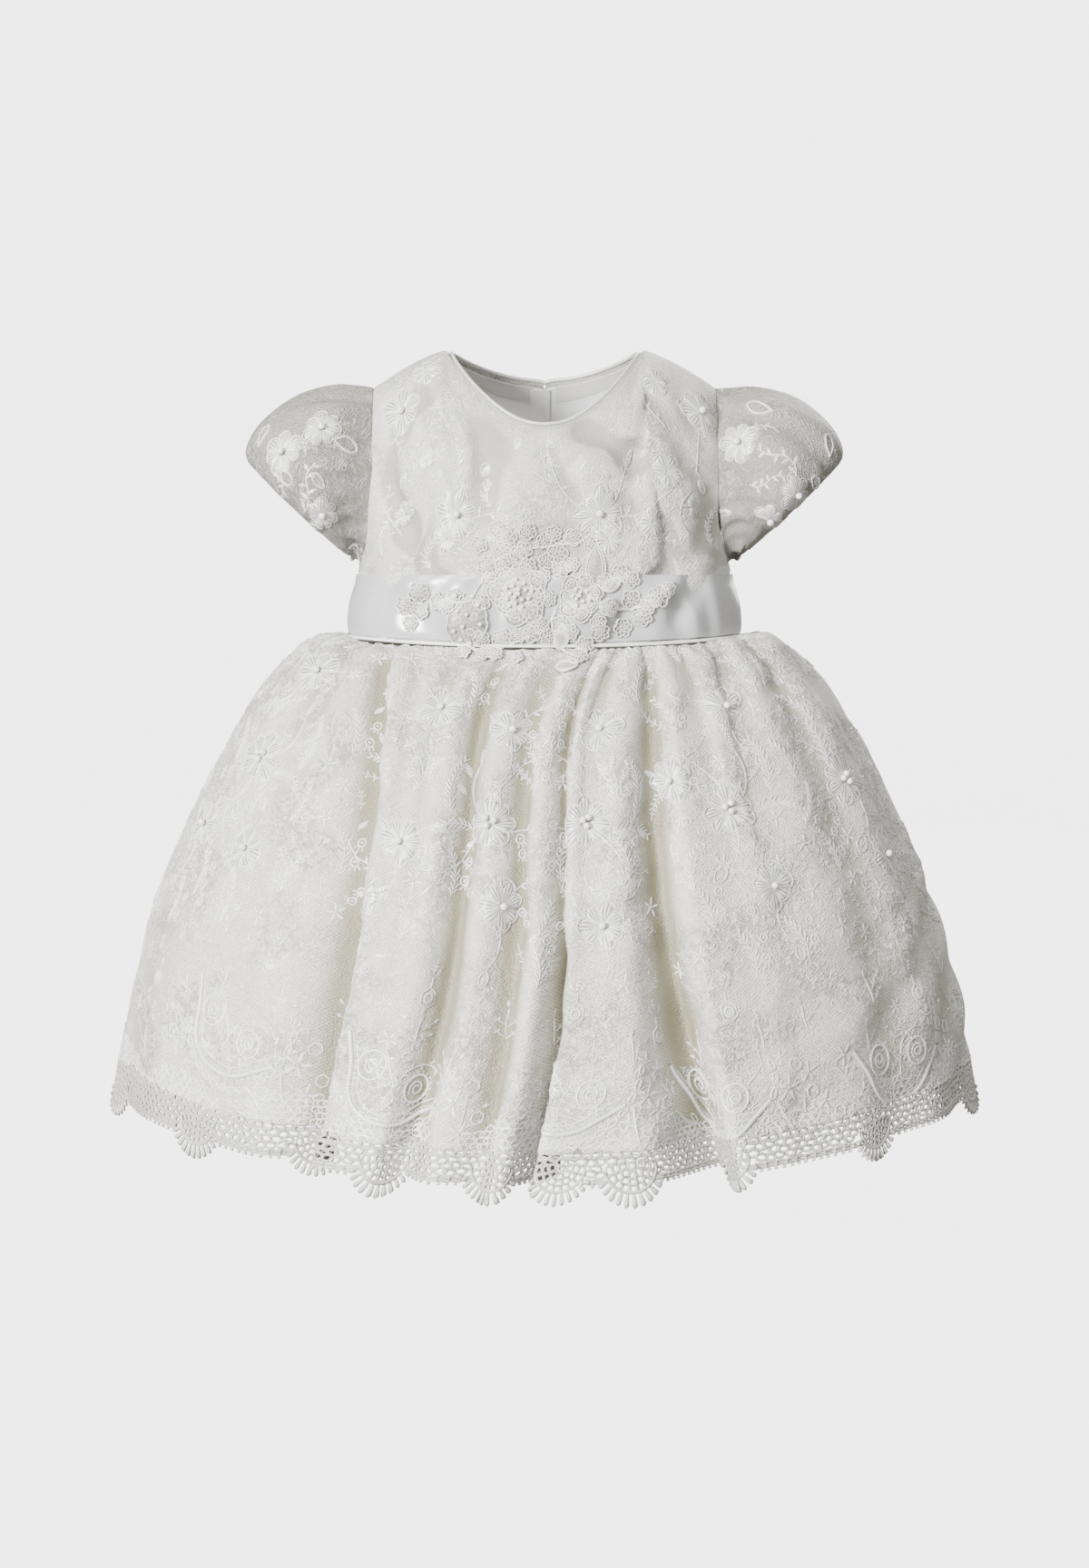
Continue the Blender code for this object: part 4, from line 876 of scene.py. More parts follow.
class Ground:
    """The outer face of a cloth, measured along and down it, for work to be laid on."""

    def __init__(self, grid, closed=False):
        if closed:
            lap = grid.shape[1] // 3
            grid = np.concatenate([grid[:, -lap:], grid, grid[:, :lap]], axis=1)
        self.grid = grid
        self.normals = normals_of(grid)
        self.along, self.down = laid_out(grid)
        self.across, self.height, self.depth = in_frame(grid)

    def under(self, across, down):
        """The place on the cloth, as row and column, that shows at this pixel from the front."""
        off = np.hypot(self.across - across, self.height - down)
        depth = np.where(off < max(off.min() + 0.5, 2.5), self.depth, 1e9)
        row, column = np.unravel_index(np.argmin(depth), depth.shape)
        return float(row), float(column)

    def hem_place(self, share, up):
        """The place a share of the way along the lower edge, and this far up from it."""
        column = float(np.interp(share * self.along[-1, -1], self.along[-1], np.arange(self.grid.shape[1])))
        lengths = self.down[:, int(column)]
        return float(np.interp(lengths[-1] - up, lengths, np.arange(len(lengths)))), column

    def from_place(self, row, column, a, b):
        """The rows and columns that lie a along and b down the cloth from places."""
        top, bottom = 0, self.grid.shape[0] - 1
        target = sample(self.down, row, column) + b
        at = row.copy()
        for _ in range(5):
            slope = sample(self.down, at + 0.5, column) - sample(self.down, at - 0.5, column)
            at = at + np.clip((target - sample(self.down, at, column)) / np.maximum(slope, 1e-5), -12, 12)
            at = np.clip(at, top - 0.01, bottom + 0.01)
        target = sample(self.along, at, column) + a
        beside = column.copy()
        for _ in range(6):
            slope = sample(self.along, at, beside + 0.5) - sample(self.along, at, beside - 0.5)
            step = (target - sample(self.along, at, beside)) / np.maximum(slope, 1e-5)
            beside = np.clip(beside + np.clip(step, -30, 30), -0.01, self.grid.shape[1] - 0.99)
        inside = (at > 0) & (at < bottom) & (beside > 0) & (beside < self.grid.shape[1] - 1)
        return at, beside, inside

    def lift(self, row, column, height):
        """Points this high over the cloth."""
        normal = unit(sample(self.normals, row, column))
        return sample(self.grid, row, column) + normal * height[:, None]

    def local_run(self, pixels):
        """A run of pixels as a place and a run of mm along and down from it."""
        places = np.array([self.under(*pixel) for pixel in pixels])
        row, column = places[0]
        rows, columns = places[:, 0], places[:, 1]
        first = np.full(len(rows), column)
        a = sample(self.along, rows, columns) - sample(self.along, rows, first)
        b = sample(self.down, rows, first) - sample(self.down, np.full(len(rows), row), first)
        return (row, column), np.column_stack([a, b]) / MM


NO_PEARLS = np.zeros((0, 4))
BASE_SHADE = 0.26  # painted shade at a thread's feet: the share of its brightness there


def bend(points, step=1.3):
    """A smooth run through a few points in mm, with a point every step."""
    points = np.asarray(points, float)
    lengths = lengths_of(points)
    table = np.column_stack([lengths, points])
    at = np.linspace(0, lengths[-1], max(4, int(lengths[-1] / step) + 1))
    return np.column_stack([curve(table, k + 1, at) for k in range(points.shape[1])])


def worked(a, b, high, bright, flip=False, closed=False, looped=False):
    """A part in rows of points: places along and down the cloth in mm, heights over it and brightness."""
    points = np.stack(np.broadcast_arrays(a, b, high, bright), axis=2)
    faces = grid_faces(*points.shape[:2], closed, looped=looped)
    return points.reshape(-1, 4), faces[:, ::-1] if flip else faces, NO_PEARLS


def thread(run, wide, high=0.6, closed=False, lift=0.0, ends=0.4, round_it=False):
    """
    A laid thread along a run in mm: an arch with its two feet on the cloth, or a round cord where
    both of its sides are seen. A part is its points, with a brightness each, its faces and its pearls.
    """
    run = np.asarray(run, float)
    along = headings(run, closed)
    full = np.ones(len(run))
    if not closed:
        full[[0, -1]] = ends
    if round_it:
        turn = (np.arange(4) + 0.5) * math.pi / 2
        over, up = np.cos(turn) * 0.707, np.sin(turn) * 0.707 + 0.4
        # Painted shade: the lower half of a round cord, towards the cloth, is coloured darker.
        bright = np.array([1.0, 1.0, 0.6, 0.6])
    else:
        over, up = np.array([-0.5, 0.0, 0.5]), np.array([-0.08, 1.0, -0.08])
        # Painted shade: an arch's two feet are coloured darker than its crest.
        bright = np.array([BASE_SHADE, 1.0, BASE_SHADE])
    side = over[None] * full[:, None] * wide
    points, faces, _ = worked(
        run[:, 0:1] - along[:, 1:2] * side, run[:, 1:2] + along[:, 0:1] * side,
        up[None] * full[:, None] * high + lift, bright, closed=round_it, looped=closed,
    )
    if round_it and not closed:
        last = (len(run) - 1) * 4
        faces = np.concatenate([faces, [[3, 2, 1, 0]], [[last, last + 1, last + 2, last + 3]]])
    return points, faces, NO_PEARLS


def knots(run, wide, high):
    """A row of small stitched knots, one at each point of a run."""
    run = np.asarray(run, float)
    along = headings(run) if len(run) > 1 else np.array([[1.0, 0.0]])
    grid = np.array([(i, j) for i in (-0.5, 0, 0.5) for j in (-0.5, 0, 0.5)]) * wide
    a = run[:, 0:1] + along[:, 0:1] * grid[None, :, 0] - along[:, 1:2] * grid[None, :, 1]
    b = run[:, 1:2] + along[:, 1:2] * grid[None, :, 0] + along[:, 0:1] * grid[None, :, 1]
    dome = np.array([-0.2, 0.25, -0.2, 0.25, 1.0, 0.25, -0.2, 0.25, -0.2])
    h = np.repeat(dome[None] * high, len(run), 0)
    # Painted shade: each knot is coloured bright only at its top, darker round its sides.
    points = np.stack([a, b, h, np.repeat(0.35 + 0.65 * (dome[None] > 0.5), len(run), 0)], axis=2)
    faces = grid_faces(3, 3)[None] + 9 * np.arange(len(run))[:, None, None]
    return points.reshape(-1, 4), faces.reshape(-1, 4), NO_PEARLS


def stitched_petal(start, length, width, ribs):
    """A round-ended petal of satin stitch: threads side by side, fanning out from the flower's middle."""
    across = np.linspace(-1, 1, 2 * ribs + 1)
    crest = (np.arange(2 * ribs + 1) % 2).astype(float)
    t = np.array([0.0, 0.3, 0.6, 0.85, 1.0])[:, None]
    spread = np.array([0.22, 0.62, 0.95, 1.0, 0.78])[:, None] * width / 2
    a = across[None] * spread
    ragged = 0.06 * length * np.sin(5.3 * np.arange(2 * ribs + 1) + length)
    reach = length * (1 - 0.38 * across[None] ** 2 * t) + (0.9 * crest + ragged)[None] * t
    b = -(start + t * reach)
    dome = np.sqrt(np.clip(1 - 0.7 * across[None] ** 2, 0, 1)) * np.array([0.5, 0.9, 1.0, 0.8, 0.1])[:, None]
    h = 1.15 * dome * (0.35 + 0.65 * crest[None]) - 0.05
    # Painted shade: the valleys between the stitches are coloured much darker than their crests.
    return worked(a, b, h, 0.06 + 0.9 * crest, flip=True)


def stitched_leaf(length, width, ribs=5, rise=0.8, bow=0.12):
    """A leaf pointing up, in slanting stitches that meet in a sunk vein down its middle."""
    rows = 2 * ribs + 1
    t = np.linspace(0, 1, rows)[:, None]
    crest = (np.arange(rows) % 2).astype(float)[:, None]
    across = np.array([-1.0, -0.45, 0.0, 0.45, 1.0])[None]
    spread = (np.sin(math.pi * np.clip(t, 0.03, 0.985) ** 0.85) ** 0.85) * width / 2
    a = across * spread + bow * length * np.sin(math.pi * t / 2) ** 2
    b = -(t * length + 0.28 * width * np.abs(across) * (1 - t))
    dome = np.array([0.0, 1.0, 0.35, 1.0, 0.0])[None]
    h = rise * dome * (0.5 + 0.5 * crest) * np.sin(math.pi * np.clip(t * 0.9 + 0.06, 0, 1)) ** 0.4 - 0.05
    # Painted shade: the grooves between the stitches, the sunk vein and the edges are coloured darker than
    # the crests.
    return worked(a, b, h, 0.25 + 0.75 * crest * (dome > 0.2), flip=True)


def circle(count):
    turn = np.arange(count) * 2 * math.pi / count
    return np.column_stack([np.cos(turn), np.sin(turn)])


def oval(wide, high, count, thick, lift=0.0, rise=0.6, round_it=False):
    return thread(circle(count) * (wide, high) / 2, thick, rise, True, lift=lift, round_it=round_it)


def moved(part, move=(0, 0), turn=0.0, size=1.0, flip=1):
    """A part turned clockwise by degrees, sized, mirrored for flip -1 and moved in mm."""
    points, faces, pearls = part
    angle = math.radians(turn)
    cosine, sine = math.cos(angle), math.sin(angle)

    def placed(values):
        a, b = values[:, 0] * size * flip, values[:, 1] * size
        a, b = a * cosine - b * sine + move[0], a * sine + b * cosine + move[1]
        return np.column_stack([a, b, values[:, 2:]])

    return placed(points), faces if flip > 0 else faces[:, ::-1], placed(pearls)


def joined(*parts):
    points, faces, pearls = zip(*parts)
    starts = np.cumsum([0] + [len(spots) for spots in points])
    faces = [made + start for made, start in zip(faces, starts)]
    return np.concatenate(points), np.concatenate(faces), np.concatenate(pearls)


def pearls_at(*spots):
    """Pearls at a, b with a radius and how high their lowest point is, and nothing else."""
    return np.zeros((0, 4)), np.zeros((0, 4), int), np.array(spots, float)


def outline(radius_in, radius_out, width):
    """A thread laid round a petal, from the flower's middle out and back."""
    half = [(-0.42 * width, -0.55 * radius_out), (-0.5 * width, -0.82 * radius_out),
            (-0.26 * width, -1.02 * radius_out)]
    run = [(-0.1 * width, -radius_in), *half, (0, -1.08 * radius_out)]
    run += [(-a, b) for a, b in reversed(half)] + [(0.1 * width, -radius_in)]
    return thread(bend(run, 2.0), 0.7, 0.65, lift=0.1)


def flower(radius, petals, pearls, slim, twist=0.0):
    """A stitched flower. Its petals differ a little in length, as they do when they are sewn."""
    parts = []
    for k in range(petals):
        reach = radius * (1 + 0.12 * math.sin(2.4 * k + 1.1))
        turn = twist + 360 * k / petals + 6 * math.sin(3.7 * k)
        wide = radius * slim * (6.6 + 0.9 * math.sin(5.1 * k)) / (petals + 1.2)
        petal = stitched_petal(radius * 0.2, reach * 0.78, wide * 0.9, 4 if radius > 9 else 3)
        parts.append(moved(petal, turn=turn))
        parts.append(moved(outline(radius * 0.2, reach * 0.99, wide), turn=turn))
    parts.append(knots(circle(8) * radius * 0.2, 1.2, 0.8))
    if pearls == 1:
        parts.append(pearls_at((0, 0, 1.9, 0.3)))
    elif pearls == 3:
        parts.append(pearls_at((-2.2, -1.2, 1.75, 0.5), (1.6, -2.4, 1.75, 0.5), (0.5, 2.2, 1.75, 0.5)))
    return joined(*parts)


def star(radius, petals=5):
    """A small open flower of slim stitched petals round a knot."""
    stitch = thread([(0, -0.2 * radius), (0, -0.62 * radius), (0, -radius)], radius * 0.32, 0.8, ends=0.6)
    stitches = (moved(stitch, turn=360 * k / petals + 11) for k in range(petals))
    return joined(*stitches, knots([(0, 0)], 1.8, 1.2))


def ring_bud(size=1.0):
    """A small ring of cord with a knot in it and three short stitches below."""
    stitch = stitched_leaf(3.4 * size, 1.7 * size, 2)
    return joined(
        oval(4.6 * size, 5.2 * size, 9, 1.0), knots([(0, 0)], 1.7 * size, 0.9),
        *(moved(stitch, (1.1 * size * k, 2.2 * size), 180 - 34 * k) for k in (-1, 0, 1)),
    )


def teardrop(length):
    """A leaf drawn as a loop of thread, filled with close cross stitches."""
    half = [(-0.24, -0.34), (-0.27, -0.66)]
    loop = bend([(0, 0), *half, (0, -1.0), (0.27, -0.66), (0.24, -0.34), (0.02, -0.02)], 0.14)
    filling = stitched_leaf(length * 0.72, length * 0.3, 5, 0.5, 0.0)
    return joined(thread(loop * length, 0.8, 0.7), moved(filling, (0, -length * 0.16)))


def on_stem(path, share):
    """The place this share of the way along a stem, and the stem's heading there in degrees."""
    i = min(int(share * (len(path) - 1)), len(path) - 2)
    step = path[i + 1] - path[i]
    return tuple(path[i]), math.degrees(math.atan2(step[0], -step[1]))


def vine(run, leaves, leaf_length, thick=0.85):
    """A stem along a run in mm, with small slanting leaves to its two sides in turn."""
    path = bend(run)
    parts = [thread(path, thick, 0.6)]
    for k in range(leaves):
        place, heading = on_stem(path, 0.12 + (0.95 - 0.12) * k / max(1, leaves - 1))
        side = 1 if k % 2 else -1
        size = 1.0 - 0.25 * k / max(1, leaves)
        leaf = stitched_leaf(leaf_length * size, leaf_length * 0.42 * size, 3, 0.7)
        parts.append(moved(leaf, place, heading + side * 48, 1.0, side))
    return joined(*parts)


def fern(run, pairs, leaf_length):
    """A feathery frond: close pairs of short stitches along a bent stem."""
    path = bend(run)
    parts = [thread(path, 0.7, 0.55)]
    for k in range(pairs):
        share = 0.06 + 0.9 * k / (pairs - 1)
        place, heading = on_stem(path, share)
        reach = leaf_length * (0.55 + 0.75 * math.sin(math.pi * (0.18 + 0.74 * share)))
        for side in (-1, 1):
            stitch = thread([(0, 0), (0.15, -0.55 * reach), (0, -reach)], 1.15, 0.8, ends=0.5)
            parts.append(moved(stitch, place, heading + side * 38))
    return joined(*parts)


def beaded_sprig(run, side=3.6, pairs=6):
    """A sprig of knots: a knotted stem, with short slanting rows of knots to both sides."""
    path = bend(run, 1.35)
    parts = [knots(path, 1.05, 0.7)]
    for k in range(pairs):
        i = int((0.15 + 0.8 * k / pairs) * (len(path) - 1))
        a, b = headings(path)[i]
        for turn in (-1, 1):
            off = np.array([a * 0.6 - turn * b * 0.8, b * 0.6 + turn * a * 0.8])
            reach = side * (1.1 - 0.5 * k / pairs)
            parts.append(knots(path[i] + off[None] * np.arange(1.2, reach, 1.1)[:, None], 1.1, 0.75))
    return joined(*parts)


def rope(run, gauge=3.0, high=1.5, fringe=1):
    """A heavy padded cord, whipped round with thread, and a close fringe of stitches along one side."""
    path = bend(run, 0.8)
    along = headings(path)
    side = np.column_stack([-along[:, 1], along[:, 0]])
    whipping = 0.82 + 0.18 * np.cos(np.arange(len(path)) * math.pi)[:, None]
    over, up = np.array([-0.5, -0.3, 0.0, 0.3, 0.5]), np.array([-0.1, 0.72, 1.0, 0.72, -0.1])
    # Painted shade: the cord is coloured darker at its two edges and between the turns of its whipping.
    cord = worked(
        path[:, 0:1] + side[:, 0:1] * over * gauge, path[:, 1:2] + side[:, 1:2] * over * gauge,
        up[None] * high * whipping, np.array([0.2, 0.9, 1.0, 0.9, 0.2])[None] * (whipping - 0.05),
    )
    return joined(cord, knots(path[::2] - fringe * side[::2] * gauge * 0.72, 1.0, 0.6))


def rose(radius, turn=0.0):
    """A rose drawn in cord: an outer ring with stitches over it, and a coil inside."""
    ring = circle(18)
    coil_turn = np.linspace(0, 3.2 * math.pi, 20)
    coil_radius = radius * (0.62 - 0.46 * coil_turn / coil_turn[-1])
    coil = np.column_stack([np.cos(coil_turn + turn) * coil_radius, np.sin(coil_turn + turn) * coil_radius])
    return joined(
        thread(ring * radius, 1.6, 1.1, True), thread(coil, 1.3, 0.9), knots(ring * radius * 1.2, 1.3, 0.8)
    )


def tulip():
    """A small bud of three stitched leaves over a ring with six sides."""
    six = np.arange(6) * math.pi / 3
    ring = np.column_stack([np.sin(six) * 5.2, np.cos(six) * 6.4 + 17])
    return joined(
        moved(stitched_leaf(9, 3.4, 4), (0, 4)), moved(stitched_leaf(8, 2.8, 4), (-1, 5), -42),
        moved(stitched_leaf(8, 2.8, 4), (1, 5), 42, flip=-1), thread(bend([(0, 4), (0.4, 8), (0, 11)]), 0.8),
        thread(ring, 1.0, 0.7, True), moved(rose(2.6), (0, 17)),
    )


def sprig():
    """A branching sprig with a leaf or a knot on each of its five tips."""
    parts = [thread(bend([(0, 8), (0.5, 0), (0, -8)], 2.0), 0.8)]
    tips = ((0, -8, 4, 5), (-9, -3, -62, 4.5), (9, -4, 58, 4.5), (-8, 4, -84, 4), (8, 3, 88, 4))
    for a, b, angle, long in tips:
        parts.append(thread([(0, b + 6), (a * 0.5, b + 3.2), (a, b)], 0.75))
        parts.append(moved(stitched_leaf(long, 2.4, 3), (a, b), angle))
        parts.append(knots([(a * 0.55, b + 1.6), (a * 0.8, b + 2.6)], 1.4, 0.8))
    return joined(*parts)


large_spray = joined(
    flower(14.0, 8, 3, 0.92),
    vine([(0, -10), (-3, -19), (-9, -28), (-18, -37), (-27, -42)], 8, 5.2),
    vine([(1, 10), (0, 18), (-4, 27), (-9, 34), (-6, 44), (0, 52)], 9, 5.0),
    moved(teardrop(12), (-11, 30), -128), moved(teardrop(10), (4, 38), 120),
    moved(stitched_leaf(12, 4.8, 7), (14, -30), -8), moved(stitched_leaf(11, 4.4, 6), (19, -22), 22),
    moved(stitched_leaf(11, 4.4, 6), (20, -12), 40),
    thread(bend([(10, -4), (16, -12), (17, -22), (14, -31)]), 0.85),
    fern([(29, -2), (31, -12), (30, -24), (25, -34)], 11, 4.6),
    fern([(14, 6), (22, 4), (32, 5), (40, 10)], 9, 4.2),
    vine([(8, 8), (16, 16), (22, 26), (32, 30), (40, 28)], 8, 4.6),
    moved(ring_bud(), (-19, 8), 30), moved(ring_bud(), (-26, 1), 70), moved(ring_bud(0.9), (-22, 16), 10),
    thread(bend([(-9, 5), (-15, 4), (-20, 3), (-24, 2)]), 0.8),
    beaded_sprig([(-6, -34), (-14, -30), (-22, -24), (-28, -16)]),
    beaded_sprig([(2, 24), (12, 30), (18, 40)]),
)
small_spray = joined(
    flower(12.0, 7, 1, 0.92, 20),
    vine([(0, 9), (2, 17), (1, 26), (-4, 34)], 6, 4.8),
    vine([(6, -6), (12, -12), (20, -15), (28, -24)], 7, 4.6),
    moved(teardrop(9), (-4, 34), 190), moved(stitched_leaf(9, 3.8, 5), (-9, -4), -64),
    moved(ring_bud(0.9), (13, 3), -60), moved(ring_bud(0.85), (17, 9), -90),
    beaded_sprig([(-8, 6), (-14, 12), (-17, 20)], 3.2, 5),
)
bud_spray = joined(
    fern([(0, 12), (1, 4), (-1, -5), (-6, -13)], 8, 4.2), moved(ring_bud(), (7, 3), -20),
    moved(ring_bud(0.9), (8, -8), 10), moved(stitched_leaf(8, 3.4, 5), (4, -14), 24),
    beaded_sprig([(-4, 6), (-9, 2), (-14, -4), (-16, -10)], 3.2, 4),
)
knot_spray = joined(
    beaded_sprig([(0, 12), (2, 4), (-1, -4), (2, -12)], 4.2, 5),
    moved(star(5.5), (-9, 2)), moved(star(4.6, 6), (9, -6)),
    beaded_sprig([(8, 10), (13, 4), (14, -2)], 2.8, 3),
)
bricks = []
for k in range(15):
    bearing = math.radians(150 - 10.5 * k)
    middle = (37 * math.cos(bearing) + 2, 41 * math.sin(bearing) - 34)
    bricks.append(moved(oval(6.2, 3.1, 8, 1.1, rise=0.8), middle, math.degrees(bearing) + 90))
border_scallop = joined(
    rope([(-33, -44), (-27, -28), (-23, -12), (-14.5, -3.5), (-3, 0), (10, -1.4), (22, -8), (33, -14.5)]),
    thread(bend([
        (-28, -40), (-22, -26), (-18, -14), (-11, -7), (-2, -4.5), (9, -5.5), (19, -12), (28, -17),
    ]), 0.9),
    moved(rose(8.0), (-15, -29)), moved(rose(7.4, 40), (14, -20.5)),
    vine([(-10, -38), (-4, -28), (0, -20), (-2, -12), (6, -8)], 8, 4.4, thick=1.1),
    vine([(0, -20), (6, -30), (16, -33), (25, -30)], 6, 4.2, thick=1.0),
    beaded_sprig([(-19, -20), (-13, -14), (-6, -9), (2, -8)], 2.8, 6),
    beaded_sprig([(-24, -40), (-18, -34), (-8, -32)], 3, 4),
    moved(ring_bud(0.9), (5, -25), 40), moved(ring_bud(0.8), (-7, -22), -30),
    rope([(37.5, -13), (40, -4), (44, 6)], 1.6, 0.9),
    rope([(-30, -10), (-38, -14), (-46, -22)], 1.5, 0.9, -1),
    moved(sprig(), (34, -35), 10, 0.9), moved(sprig(), (-43, -34), -20, 0.8),
    moved(star(7.5, 5), (45, -18)), moved(star(7.0, 6), (-37, -6)), moved(star(6.5, 5), (53, -3)),
    *bricks,
)
for k, (a, b) in enumerate(((-47, -6), (-41, 3), (31, 1), (52, -28), (60, -12), (-52, -18))):
    turn = np.arange(6) * math.pi / 3 + 0.4 * k
    ring = np.column_stack([np.cos(turn) * (4.0 + 0.5 * math.sin(k)), np.sin(turn) * 3.6])
    border_scallop = joined(border_scallop, moved(thread(ring, 1.0, 0.7, True), (a, b)))


pearl_spots = []


class Needlework:
    """Parts sewn at places of one cloth, and laid on it together as one piece."""

    def __init__(self, ground):
        self.ground = ground
        self.parts, self.places = [], []

    def sew(self, part, place, turn=0.0, size=1.0, flip=1):
        self.parts.append(moved(part, (0, 0), turn, size, flip))
        self.places.append(place)

    def spots(self, places):
        rows, columns = np.array(places, float).reshape(-1, 2).T
        return sample(self.ground.grid, rows, columns)

    def fill(self, motifs, tone, across_step, down_step, keep_off, lowest, highest=None):
        """Motifs in staggered rows over the ridges of the cloth, wherever nothing larger has been sewn."""
        taken = self.spots(self.places) if self.places else np.zeros((1, 3))
        width, depth = self.ground.along[-1, -1], self.ground.down[-1].mean()
        count = 0
        for i, up in enumerate(np.arange(lowest, (highest or depth / MM) - 8, down_step)):
            for j in range(int(width / MM / across_step)):
                share = (j + 0.3 + 0.4 * (i % 2) + 0.12 * math.sin(5 * i + 3 * j)) * across_step * MM / width
                place = self.ground.hem_place(share, (up + 4 * math.sin(7 * j + i)) * MM)
                spot = self.spots([place])
                sunk = sample(tone, *(np.array([value]) for value in place))[0] > 0.45
                if not sunk and np.linalg.norm(taken - spot, axis=1).min() > keep_off * MM:
                    count += 1
                    motif, flip = motifs[count % len(motifs)], 1 if count % 3 else -1
                    self.sew(motif, place, 47 * math.sin(11 * count), 1.0, flip)

    def spread(self, values, pick):
        """Where points or pearls lie on the cloth, as rows and columns, each from its own part's place."""
        counts = [len(part[pick]) for part in self.parts]
        rows, columns = (np.repeat([place[k] for place in self.places], counts) for k in (0, 1))
        return self.ground.from_place(rows, columns, values[:, 0] * MM, values[:, 1] * MM)

    def lay(self, name, finish, lift=0.0, stands_for=None):
        """Makes the piece, and keeps the middles and radii of its pearls for the last section."""
        points, faces, pearls = joined(*self.parts)
        at, beside, inside = self.spread(points, 0)
        laid = self.ground.lift(at, beside, points[:, 2] * MM + lift)
        kept = inside[faces].all(axis=1)
        used, faces = np.unique(faces[kept], return_inverse=True)
        # Each point's brightness, the painted light and shade of the thread, goes into the cloth attribute.
        bright = np.repeat(points[used, 3:4], 3, axis=1)
        piece = add_piece(name, laid[used], faces.reshape(-1, 4), finish, cloth=bright)
        fit(piece, "ivory_lace", stands_for)
        if len(pearls):
            at, beside, inside = self.spread(pearls, 2)
            middles = self.ground.lift(at, beside, (pearls[:, 3] + pearls[:, 2]) * MM + lift)
            pearl_spots.append((middles[inside], pearls[inside, 2] * MM))


def embroidery_thread(name, bright, deep, rough, twill=700.0, depth=0.1):
    """Lustrous twisted thread. Its colour goes from deep to bright by each point's painted brightness: the
    deep colour is painted shade at the threads' feet, between stitches and under cords, and it also gives
    padded fills their duller tone.
    """
    finish = Finish(name)
    painted_light_share = finish.node("ShaderNodeAttribute", {"attribute_name": "cloth"}, output=2)
    place = finish.node("ShaderNodeTexCoord", output=3)
    values = {"Vector": place, "Scale": twill, "Distortion": 3.0}
    twist = finish.node("ShaderNodeTexWave", {"bands_direction": "DIAGONAL"}, values)
    tint = finish.noise(place, 45.0, 2.0)
    finish.fill(finish.shader, {
        "Base Color": finish.between(painted_light_share * (1.04 - tint * 0.16), deep, bright),
        "Roughness": rough + tint * 0.12,
        "Normal": finish.bump(0.4, depth * MM, twist),
        "Sheen Weight": 0.1,
        "Specular IOR Level": 1.0,
    })
    return finish


thread_work = embroidery_thread("white_embroidery_thread", (0.97, 0.965, 0.945), (0.11, 0.10, 0.075), 0.22)
FRONT_LARGE_SPRAYS = (
    # pixel across and down, turn in degrees, flip
    (286, 836, 8, 1), (541, 905, 4, -1), (645, 912, 0, 1), (804, 889, -6, 1), (931, 855, -14, 1),
)
FRONT_SMALL_SPRAYS = (
    (349, 740, 30, 1), (271, 932, 12, -1), (485, 782, 6, -1), (563, 802, 0, 1), (661, 804, -6, -1),
    (799, 777, -16, -1), (440, 930, 10, 1), (555, 997, 0, 1), (662, 1016, -4, 1), (851, 976, -6, -1),
    (975, 937, -16, 1), (404, 984, 8, -1), (225, 905, 16, 1), (740, 860, -6, 1),
)
FRONT_BUDS = (
    (252, 985, 8, 1), (330, 890, 30, 1), (470, 850, 20, -1), (590, 850, 0, 1), (675, 868, 0, 1),
    (690, 945, -4, 1), (868, 840, -10, 1), (395, 810, 12, 1), (620, 945, 0, -1), (500, 960, 6, 1),
    (887, 1038, -10, 1), (760, 960, 0, -1), (1000, 1000, -14, 1), (445, 1010, 8, 1), (320, 960, 14, -1),
    (735, 790, -10, 1), (430, 760, 10, -1), (525, 760, 6, 1), (880, 780, -26, 1), (590, 1060, 0, 1),
    (195, 990, 14, 1), (1010, 930, -16, -1), (620, 770, 0, 1), (705, 755, -8, -1), (310, 780, 30, -1),
)
FRONT_TULIPS = (
    (307, 1030, 4, 1), (796, 1080, -6, 1), (478, 1068, 4, 1), (640, 1090, 0, 1), (180, 1050, 12, 1),
    (1000, 1062, -14, 1), (722, 1110, -2, -1),
)
FRONT_SPRIGS = (
    (309, 1104, 4, 1), (840, 1138, -8, 1), (885, 1122, -10, -1), (460, 1130, 6, -1), (610, 1140, 0, 1),
    (560, 1130, 0, -1), (245, 1086, 8, -1), (700, 1160, 0, 1), (960, 1095, -12, 1), (395, 1120, 8, 1),
    (1035, 1060, -14, 1), (655, 1165, 0, -1), (770, 1160, -4, 1),
)
FRONT_SCALLOPS = (
    (245, 1178, 8, 1), (417, 1241, 5, 1), (612, 1248, 0, 1), (802, 1254, -6, 1), (1000, 1206, -14, 1),
)
grounds = {name: Ground(grid[:, 4:-4]) for name, grid in skirt_grids.items()}
tones = {name: tone[:, 4:-4] for name, tone in skirt_tones.items()}
work = Needlework(grounds["front"])
for motif, table, size in (
    (large_spray, FRONT_LARGE_SPRAYS, 1.0), (small_spray, FRONT_SMALL_SPRAYS, 1.0),
    (bud_spray, FRONT_BUDS, 1.0), (tulip(), FRONT_TULIPS, 0.9), (sprig(), FRONT_SPRIGS, 0.9),
):
    for across, down, turn, flip in table:
        work.sew(motif, work.ground.under(across, down), turn, size, flip)
work.fill((knot_spray, bud_spray, knot_spray), tones["front"], 34, 26, 17, 66)
work.lay("skirt_embroidery_front", thread_work)
work = Needlework(grounds["front"])
for across, down, turn, flip in FRONT_SCALLOPS:
    work.sew(border_scallop, work.ground.under(across, down), turn, 1.0, flip)
work.fill((knot_spray, star(6.0), sprig()), tones["front"], 26, 20, 14, 16, 60)
mesh_cell = oval(5.8, 3.3, 8, 0.95)
width = work.ground.along[-1, -1] / MM
